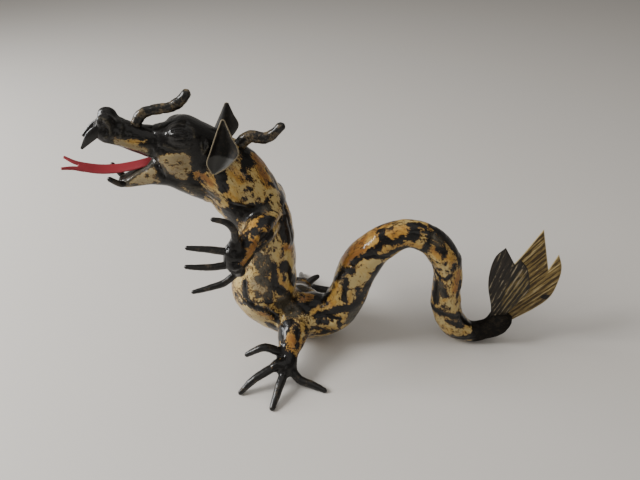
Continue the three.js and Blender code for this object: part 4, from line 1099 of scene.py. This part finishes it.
def rod_paint(name, wear, share, coat):
    """Black paste, rubbed brown on its high places; the rubbing runs along the rod."""
    paste = Recipe(name)
    place = paste.tree.nodes.new("ShaderNodeTexCoord").outputs["Object"]
    coarse = paste.noise(place, 190.0, 4.0, 0.6)
    grit = paste.noise(place, 900.0, 3.0, 0.65)
    along = paste.value("along").outputs["Fac"]
    middle = paste.sum(coarse, paste.swing(grit, 0.5), paste.range(along, 0.0, 0.5, -0.08, 0.04), paste.range(along, 0.6, 1.0, 0.0, -0.08))
    paste.feed(paste.shader.inputs["Base Color"], paste.mix(paste.range(middle, share, share + 0.16), (0.008, 0.0075, 0.007), wear))
    paste.feed(paste.shader.inputs["Roughness"], paste.range(grit, 0.3, 0.7, 0.28, 0.5))
    paste.shader.inputs["Coat Weight"].default_value = coat
    paste.shader.inputs["Coat Roughness"].default_value = 0.13
    paste.shader.inputs["Coat IOR"].default_value = 1.42
    paste.shader.inputs["Specular IOR Level"].default_value = 0.2
    paste.bump(paste.sum(coarse, paste.swing(grit, 0.5)), 0.6, 0.0006)
    return paste.material


black_paste = rod_paint("black_paste", (0.060, 0.046, 0.030), 0.56, 0.45)
horn_paste = rod_paint("rubbed_horn", (0.125, 0.092, 0.050), 0.47, 0.5)

for seed, (name, (places, radius)) in enumerate(claw_lines.items()):
    rod(name, lengthen(places, SOCKET_DEPTH, 0.42 * radius * 0.55), radius * 1.05, 0.54, 2.4, 0.7, seed * 3.7, black_paste)

SNOUT_HORN = on_head((-39, 0, 1), (-36.5, 0, 9.5), (-30, 0, 14), (-24, 0, 16.3), (-19, 0, 20.5), (-15.7, 0, 27))
CREST_HORN = [(-50, 0.5, 137), (-45, 0, 144.5), (-38.7, 0, 149.6), (-30.5, 0.5, 149), (-25, 1.5, 152), (-20.8, 2, 156.3)]
rod("snout_horn", lengthen(SNOUT_HORN, 0.5, 1.0), 2.9, 0.95, 1.0, 1.8, 71.0, horn_paste)
rod("crest_horn", lengthen(CREST_HORN, 0.5, 1.2), 3.9, 0.62, 1.8, 1.6, 83.0, horn_paste)

LOWER_TEETH = {
    "left": on_head((-40, -4, -29.5), (-43, -5.4, -29.2), (-48.5, -6.4, -26.6)),
    "right": on_head((-40, 4, -29.5), (-43, 5.4, -28.2), (-48, 6, -23.5)),
}
for word, places in LOWER_TEETH.items():
    rod(word + "_lower_tooth", lengthen(places, 0.5, 0.6), 1.8, 0.75, 1.5, 0.3, 91.0, black_paste)

# %% [markdown]
# ## Fangs, tongue and ears
# The fangs are rods pressed flat. The tongue is a strip of red sheet, slit at its end into two points.
# Its top has a shallow groove along the middle, which catches a line of light.

# %% Fangs and tongue
FANG = 2.7
LEFT_RIGHT = HEAD_TURN @ np.array([0.0, 1.0, 0.0])
for word, side, tip in (("left", -1, (-62.4, -5, -12.2)), ("right", 1, (-63, 5, -9.5))):
    places = on_head((-55, side * 5, 0), (-58.5, side * 5.4, -4.4), tip)
    fang = plain_mesh(word + "_fang_blade", to_part(bar(places, (FANG, FANG, FANG * 0.28), 40, 24, LEFT_RIGHT, flat=0.5)[0]),
                      bar(places, (FANG, FANG, FANG * 0.28), 40, 24, LEFT_RIGHT, flat=0.5)[1])
    fang.data.materials.append(black_paste)
    ride_as(fang, word + "_fang")

TONGUE_WIDTH, TONGUE_THICKNESS, TONGUE_ROLL = 7.0, 1.4, math.radians(20)
tongue_across = HEAD_TURN @ np.array([0, math.cos(TONGUE_ROLL), math.sin(TONGUE_ROLL)])
tongue_up = np.cross(HEAD_TURN @ np.array([-1.0, 0, 0]), tongue_across)


def strip(places, widths, groove=0.0, steps=70):
    """A strip with round edges; the groove lowers the middle of its upper face."""
    ts = np.linspace(0, 1, steps + 1)
    line, wide = smooth(places, ts), smooth(widths, ts) / 2
    ahead = unit(smooth(places, np.minimum(ts + 1e-3, 1)) - smooth(places, np.maximum(ts - 1e-3, 0)))
    side = unit(tongue_across - (ahead @ tongue_across)[:, None] * ahead)
    over = np.cross(ahead, side)
    turn = np.linspace(0, 2 * np.pi, 28, endpoint=False)
    a, b = np.cos(turn), np.sign(np.sin(turn)) * np.abs(np.sin(turn)) ** 0.6
    high = TONGUE_THICKNESS / 2
    rings = []
    for i in range(steps + 1):
        lift = b * high - groove * np.exp(-(a / 0.28) ** 2) * (b * np.sign(over[i] @ tongue_up) > 0) * np.sign(over[i] @ tongue_up)
        rings.append(line[i] + side[i] * (a * wide[i])[:, None] + over[i] * lift[:, None])
    return skin_rings(np.array(rings))


middle = on_head((-9.5, 0, -12.4), (-22, 0, -13), (-29, 0, -15.6), (-36, 0, -19.3), (-45, 0, -23), (-54, 0, -25), (-64, 0, -25.2))
stem_widths = np.array([0.79, 0.86, 0.91, 0.97, 1, 1, 0.94]) * TONGUE_WIDTH
tongue_form = Shape()
tongue_form.add(*strip(middle, stem_widths, groove=0.4))
for side in (-1, 1):
    prong = [on_head((x, 0, z))[0] + tongue_across * side * spread * TONGUE_WIDTH
             for x, spread, z in ((-61, 0.25, -25.3), (-66, 0.32, -25), (-71.5, 0.62, -24.6))]
    tongue_form.add(*strip(prong, np.array([0.46, 0.36, 0.2]) * TONGUE_WIDTH, steps=30))
tongue = plain_mesh("tongue_strip", to_part(tongue_form.points), tongue_form.faces)
tongue_melt = tongue.modifiers.new("melt", "REMESH")
tongue_melt.mode = "VOXEL"
tongue_melt.voxel_size = 0.32 * MM
tongue = evaluated(tongue, "forked_tongue")
tongue.data.shade_smooth()
red_paste, red_shader = simple_shader("red_paste")
red_shader.inputs["Base Color"].default_value = (0.27, 0.013, 0.022, 1)
red_shader.inputs["Roughness"].default_value = 0.5
tongue.data.materials.append(red_paste)
ride_as(tongue, "tongue")
print("tongue:", len(tongue.data.polygons), "faces")

# %% [markdown]
# An ear is a pointed leaf of thin sheet, cupped like a real ear. Three long lines describe it: the front rim,
# the valley and the back rim. The sheet is thinnest at its rims, where the paint is rubbed through to the pale sheet.
# Low inside the cup the black gives way to a lit greyish paint: painted light.

# %% Ears
def ear(word, side, rows=72, columns=36):
    sheet, (front, valley, back), u = ear_grid(side, rows, columns)
    down, over = np.gradient(sheet, axis=0), np.gradient(sheet, axis=1)
    normal = unit(np.cross(over, down))
    wide = np.linalg.norm(over, axis=2).sum(1)[:, None]
    rim = np.minimum(np.minimum(u, 1 - u)[..., 0] * wide, np.minimum(np.arange(rows + 1), np.arange(rows, -1, -1))[:, None] * 0.4)
    half = EAR_THICKNESS / 2 * (0.45 + 0.55 * np.clip(rim / 1.5, 0, 1) ** 0.5)[..., None]
    hollow = np.sign((normal * ((front + back) / 2 - valley)[:, None]).sum(2))
    height = np.linspace(0, 1, rows + 1)[:, None] * np.ones((1, columns + 1))
    inner, outer = sheet + normal * half, sheet - normal * half
    width = columns + 1
    points = np.vstack([inner.reshape(-1, 3), outer.reshape(-1, 3)])
    faces, other = [], (rows + 1) * width
    for i in range(rows):
        for k in range(columns):
            a = i * width + k
            faces.append((a, a + 1, a + width + 1, a + width))
            faces.append((other + a, other + a + width, other + a + width + 1, other + a + 1))
        a = i * width
        faces.append((a, a + width, other + a + width, other + a))
        a += columns
        faces.append((a, other + a, other + a + width, a + width))
    for k in range(columns):
        faces.append((k, other + k, other + k + 1, k + 1))
        a = rows * width + k
        faces.append((a, a + 1, other + a + 1, other + a))
    made = plain_mesh(word + "_ear_leaf", to_part(points), faces)
    tidy = bmesh.new()
    tidy.from_mesh(made.data)
    bmesh.ops.recalc_face_normals(tidy, faces=tidy.faces)
    tidy.to_mesh(made.data)
    tidy.free()
    for name, values in (("rim", (rim, rim)), ("hollow", (hollow, -hollow)), ("height", (height, height))):
        made.data.attributes.new(name, "FLOAT", "POINT").data.foreach_set("value", np.hstack([v.ravel() for v in values]))
    return made


ear_recipe = Recipe("ear_paint")
object_at = ear_recipe.tree.nodes.new("ShaderNodeTexCoord").outputs["Object"]
rim_at = ear_recipe.sum(ear_recipe.value("rim").outputs["Fac"], ear_recipe.swing(ear_recipe.noise(object_at, 600.0), 0.9))
height_at = ear_recipe.sum(ear_recipe.value("height").outputs["Fac"], ear_recipe.swing(ear_recipe.noise(object_at, 300.0), 0.05))
# Painted light: the lower part of the cup's inside is painted a lit greyish colour, as if light fell into it.
lit_low_hollow = calc(ear_recipe.tree, "MULTIPLY", ear_recipe.range(height_at, 0.40, 0.37), ear_recipe.range(ear_recipe.value("hollow").outputs["Fac"], -0.1, 0.1))
ear_black = ear_recipe.mix(ear_recipe.range(ear_recipe.noise(object_at, 420.0, 4.0), 0.5, 0.7), (0.010, 0.009, 0.008), (0.030, 0.024, 0.017))
ear_painted_light = ear_recipe.mix(lit_low_hollow, ear_black, (0.075, 0.074, 0.070))
ear_recipe.feed(ear_recipe.shader.inputs["Base Color"], ear_recipe.mix(ear_recipe.range(rim_at, 0.3, 0.15), ear_painted_light, (0.21, 0.175, 0.115)))
ear_recipe.shader.inputs["Roughness"].default_value = 0.62
ear_recipe.shader.inputs["Specular IOR Level"].default_value = 0.25
for word, side in (("left", -1), ("right", 1)):
    leaf = ear(word, side)
    leaf.data.materials.append(ear_recipe.material)
    ride_as(leaf, word + "_ear")
print("ear points:", len(leaf.data.vertices))

# %% [markdown]
# ## Tail leaves
# Two stiff leaves with a notch, cut from thin sheet and scored with lines that fan out from the foot.
# The outline is filled with small triangles; the score lines are real furrows in both faces.

# %% Tail leaves
FIN_THICKNESS, FIN_LEAN = 1.3, 9.0
FINS = {
    "left": ((120, 6.5, 22), FIN_LEAN, [(4, -3), (6, 8), (9.5, 19), (13, 31), (10.8, 41), (6.7, 51.2), (0.8, 58.2)], (-0.9, 53.1),
             [(-9.5, 67), (-13.6, 59), (-14.2, 46), (-12, 31), (-6, 11), (-4, -3)]),
    "right": ((124, 9.5, 20), -FIN_LEAN, [(4, -3), (8.5, 0.5), (21, 10.8), (28.6, 20.6), (31.2, 34.2), (30.6, 43.1), (27.2, 51.3)],
              (23.1, 39.6), [(14.5, 68), (4.3, 47.8), (-2, 36), (-3, 20), (-4, -3)]),
}


SCORE_CENTERS = {"left": (-25, -110), "right": (-110, -115)}


def fin_outline(rear, notch, front, cell):
    """The closed outline as evenly spaced places."""
    rough = np.vstack([smooth(rear, np.linspace(0, 1, 400)), [notch], smooth(front, np.linspace(0, 1, 400)), [rear[0]]])
    steps = np.r_[0, np.cumsum(np.linalg.norm(np.diff(rough, axis=0), axis=1))]
    even = np.linspace(0, steps[-1], int(steps[-1] / cell))[:-1]
    return np.stack([np.interp(even, steps, rough[:, k]) for k in (0, 1)], 1)


def edge_distance(places, outline):
    a, b = outline, np.roll(outline, -1, axis=0)
    best = np.full(len(places), 1e9)
    for p, q in zip(a, b):
        t = np.clip((places - p) @ (q - p) / ((q - p) @ (q - p)), 0, 1)
        best = np.minimum(best, np.linalg.norm(places - p - t[:, None] * (q - p), axis=1))
    return best


def fin(word, foot, lean, rear, notch, front, cell=0.55):
    from mathutils.geometry import delaunay_2d_cdt
    outline = fin_outline(rear, notch, front, cell)
    low, high = outline.min(0), outline.max(0)
    rows = np.arange(low[1], high[1], cell * 0.87)
    inner = np.array([(x + (i % 2) * cell / 2, z) for i, z in enumerate(rows) for x in np.arange(low[0], high[0], cell)])
    a, b = outline, np.roll(outline, -1, axis=0)
    crossing = (a[None, :, 1] > inner[:, 1:]) != (b[None, :, 1] > inner[:, 1:])
    with np.errstate(divide="ignore", invalid="ignore"):
        at_x = a[:, 0] + (inner[:, 1:] - a[:, 1]) / (b[:, 1] - a[:, 1]) * (b[:, 0] - a[:, 0])
    inside = (crossing & (inner[:, :1] < at_x)).sum(1) % 2 == 1
    inner = inner[inside]
    inner = inner[edge_distance(inner, outline) > cell * 0.6]
    flat = np.vstack([outline, inner])
    border = [(i, (i + 1) % len(outline)) for i in range(len(outline))]
    spots, _, triangles, *_ = delaunay_2d_cdt([Vector(p) for p in flat], border, [list(range(len(outline)))], 1, 1e-6)
    spots = np.array([tuple(p) for p in spots])
    rim = edge_distance(spots, outline)
    far_x, far_z = SCORE_CENTERS[word]
    across = np.arctan2(spots[:, 1] - far_z, spots[:, 0] - far_x) * math.hypot(far_x, far_z) * 1.3
    reach = np.hypot(spots[:, 0] - far_x, spots[:, 1] - far_z)
    wander = 1.2 * np.sin(reach / 11 + across * 0.5) + 0.7 * np.sin(reach / 4.6 + across * 1.1)
    furrow = 0.62 * np.sin(across * 2.1 + wander * 0.6) + 0.38 * np.sin(across * 4.6 - wander)
    half = FIN_THICKNESS / 2 * (0.5 + 0.5 * np.clip(rim / 1.6, 0, 1) ** 0.7) - 0.12 + 0.12 * furrow * np.clip(rim, 0, 1)
    tilt = math.radians(lean)
    points = []
    for sign in (1, -1):
        y = sign * half
        xyz = np.stack([spots[:, 0], y * math.cos(tilt) - spots[:, 1] * math.sin(tilt), spots[:, 1] * math.cos(tilt) + y * math.sin(tilt)], 1)
        points.append(xyz + np.array(foot, float))
    count = len(spots)
    faces = [tuple(t) for t in triangles] + [tuple(count + i for i in reversed(t)) for t in triangles]
    edge_uses = {}
    for t in triangles:
        for i, k in zip(t, (*t[1:], t[0])):
            edge_uses[frozenset((i, k))] = edge_uses.get(frozenset((i, k)), []) + [(i, k)]
    for uses in edge_uses.values():
        if len(uses) == 1:
            i, k = uses[0]
            faces.append((k, i, count + i, count + k))
    made = plain_mesh(word + "_tail_leaf", to_part(np.vstack(points)), faces)
    tidy = bmesh.new()
    tidy.from_mesh(made.data)
    bmesh.ops.recalc_face_normals(tidy, faces=tidy.faces)
    tidy.to_mesh(made.data)
    tidy.free()
    gold = np.clip(1.3 - np.hypot((spots[:, 0] - 5) / 8, (spots[:, 1] - 29) / 22), 0, 1)
    blot = np.clip(1.4 - np.hypot((spots[:, 0] - 25.5) / 3.6, (spots[:, 1] - 19.5) / 2.0), 0, 1)
    for name, values in (("rim", rim), ("gold", gold), ("blot", blot), ("furrow", furrow)):
        made.data.attributes.new(name, "FLOAT", "POINT").data.foreach_set("value", np.tile(values, 2))
    scored = np.column_stack([across, reach * 0.12, np.zeros(count)])
    made.data.attributes.new("scored", "FLOAT_VECTOR", "POINT").data.foreach_set("vector", np.tile(scored.ravel(), 2))
    return made


def leaf_paint(word, ground, shade, line, gilt):
    """Dark paint, scraped through to the pale sheet along the scoring."""
    leaf = Recipe(word + "_leaf_paint")
    scored_at = leaf.value("scored").outputs["Vector"]
    broad = leaf.noise(scored_at, 0.3, 4.0, 0.65)
    grit = leaf.noise(scored_at, 1.6, 3.0, 0.7)
    scrape = leaf.sum(calc(leaf.tree, "MULTIPLY", leaf.value("furrow").outputs["Fac"], 0.8), leaf.swing(broad, 4.0), leaf.swing(grit, 2.4))
    gold_at = leaf.sum(leaf.value("gold").outputs["Fac"], leaf.swing(broad, 0.8))
    base = leaf.mix(leaf.range(scrape, -0.35, 0.1), shade, ground)
    golden = leaf.mix(calc(leaf.tree, "MULTIPLY", leaf.range(gold_at, 0.3, 0.6), leaf.range(scrape, -0.25, 0.35)), base, gilt)
    lined = leaf.mix(leaf.range(scrape, 0.52, 0.8), golden, line)
    blotted = leaf.mix(leaf.range(leaf.sum(leaf.value("blot").outputs["Fac"], leaf.swing(grit, 0.8)), 0.35, 0.55), lined, (0.010, 0.008, 0.007))
    leaf.feed(leaf.shader.inputs["Base Color"], leaf.mix(leaf.range(leaf.value("rim").outputs["Fac"], 0.6, 0.25), blotted, shade if word == "left" else line))
    leaf.shader.inputs["Roughness"].default_value = 0.5
    leaf.shader.inputs["Specular IOR Level"].default_value = 0.3
    leaf.bump(scrape, 0.4, 0.0004)
    return leaf.material


leaf_paints = {
    "left": leaf_paint("left", (0.020, 0.015, 0.010), (0.009, 0.007, 0.005), (0.27, 0.225, 0.15), (0.17, 0.120, 0.036)),
    "right": leaf_paint("right", (0.19, 0.13, 0.042), (0.050, 0.031, 0.012), (0.40, 0.315, 0.15), (0.235, 0.160, 0.050)),
}
for word, drawing in FINS.items():
    leaf = fin(word, *drawing)
    leaf.data.materials.append(leaf_paints[word])
    ride_as(leaf, word + "_tail_fin")
    print(word, "leaf:", len(leaf.data.vertices), "points")
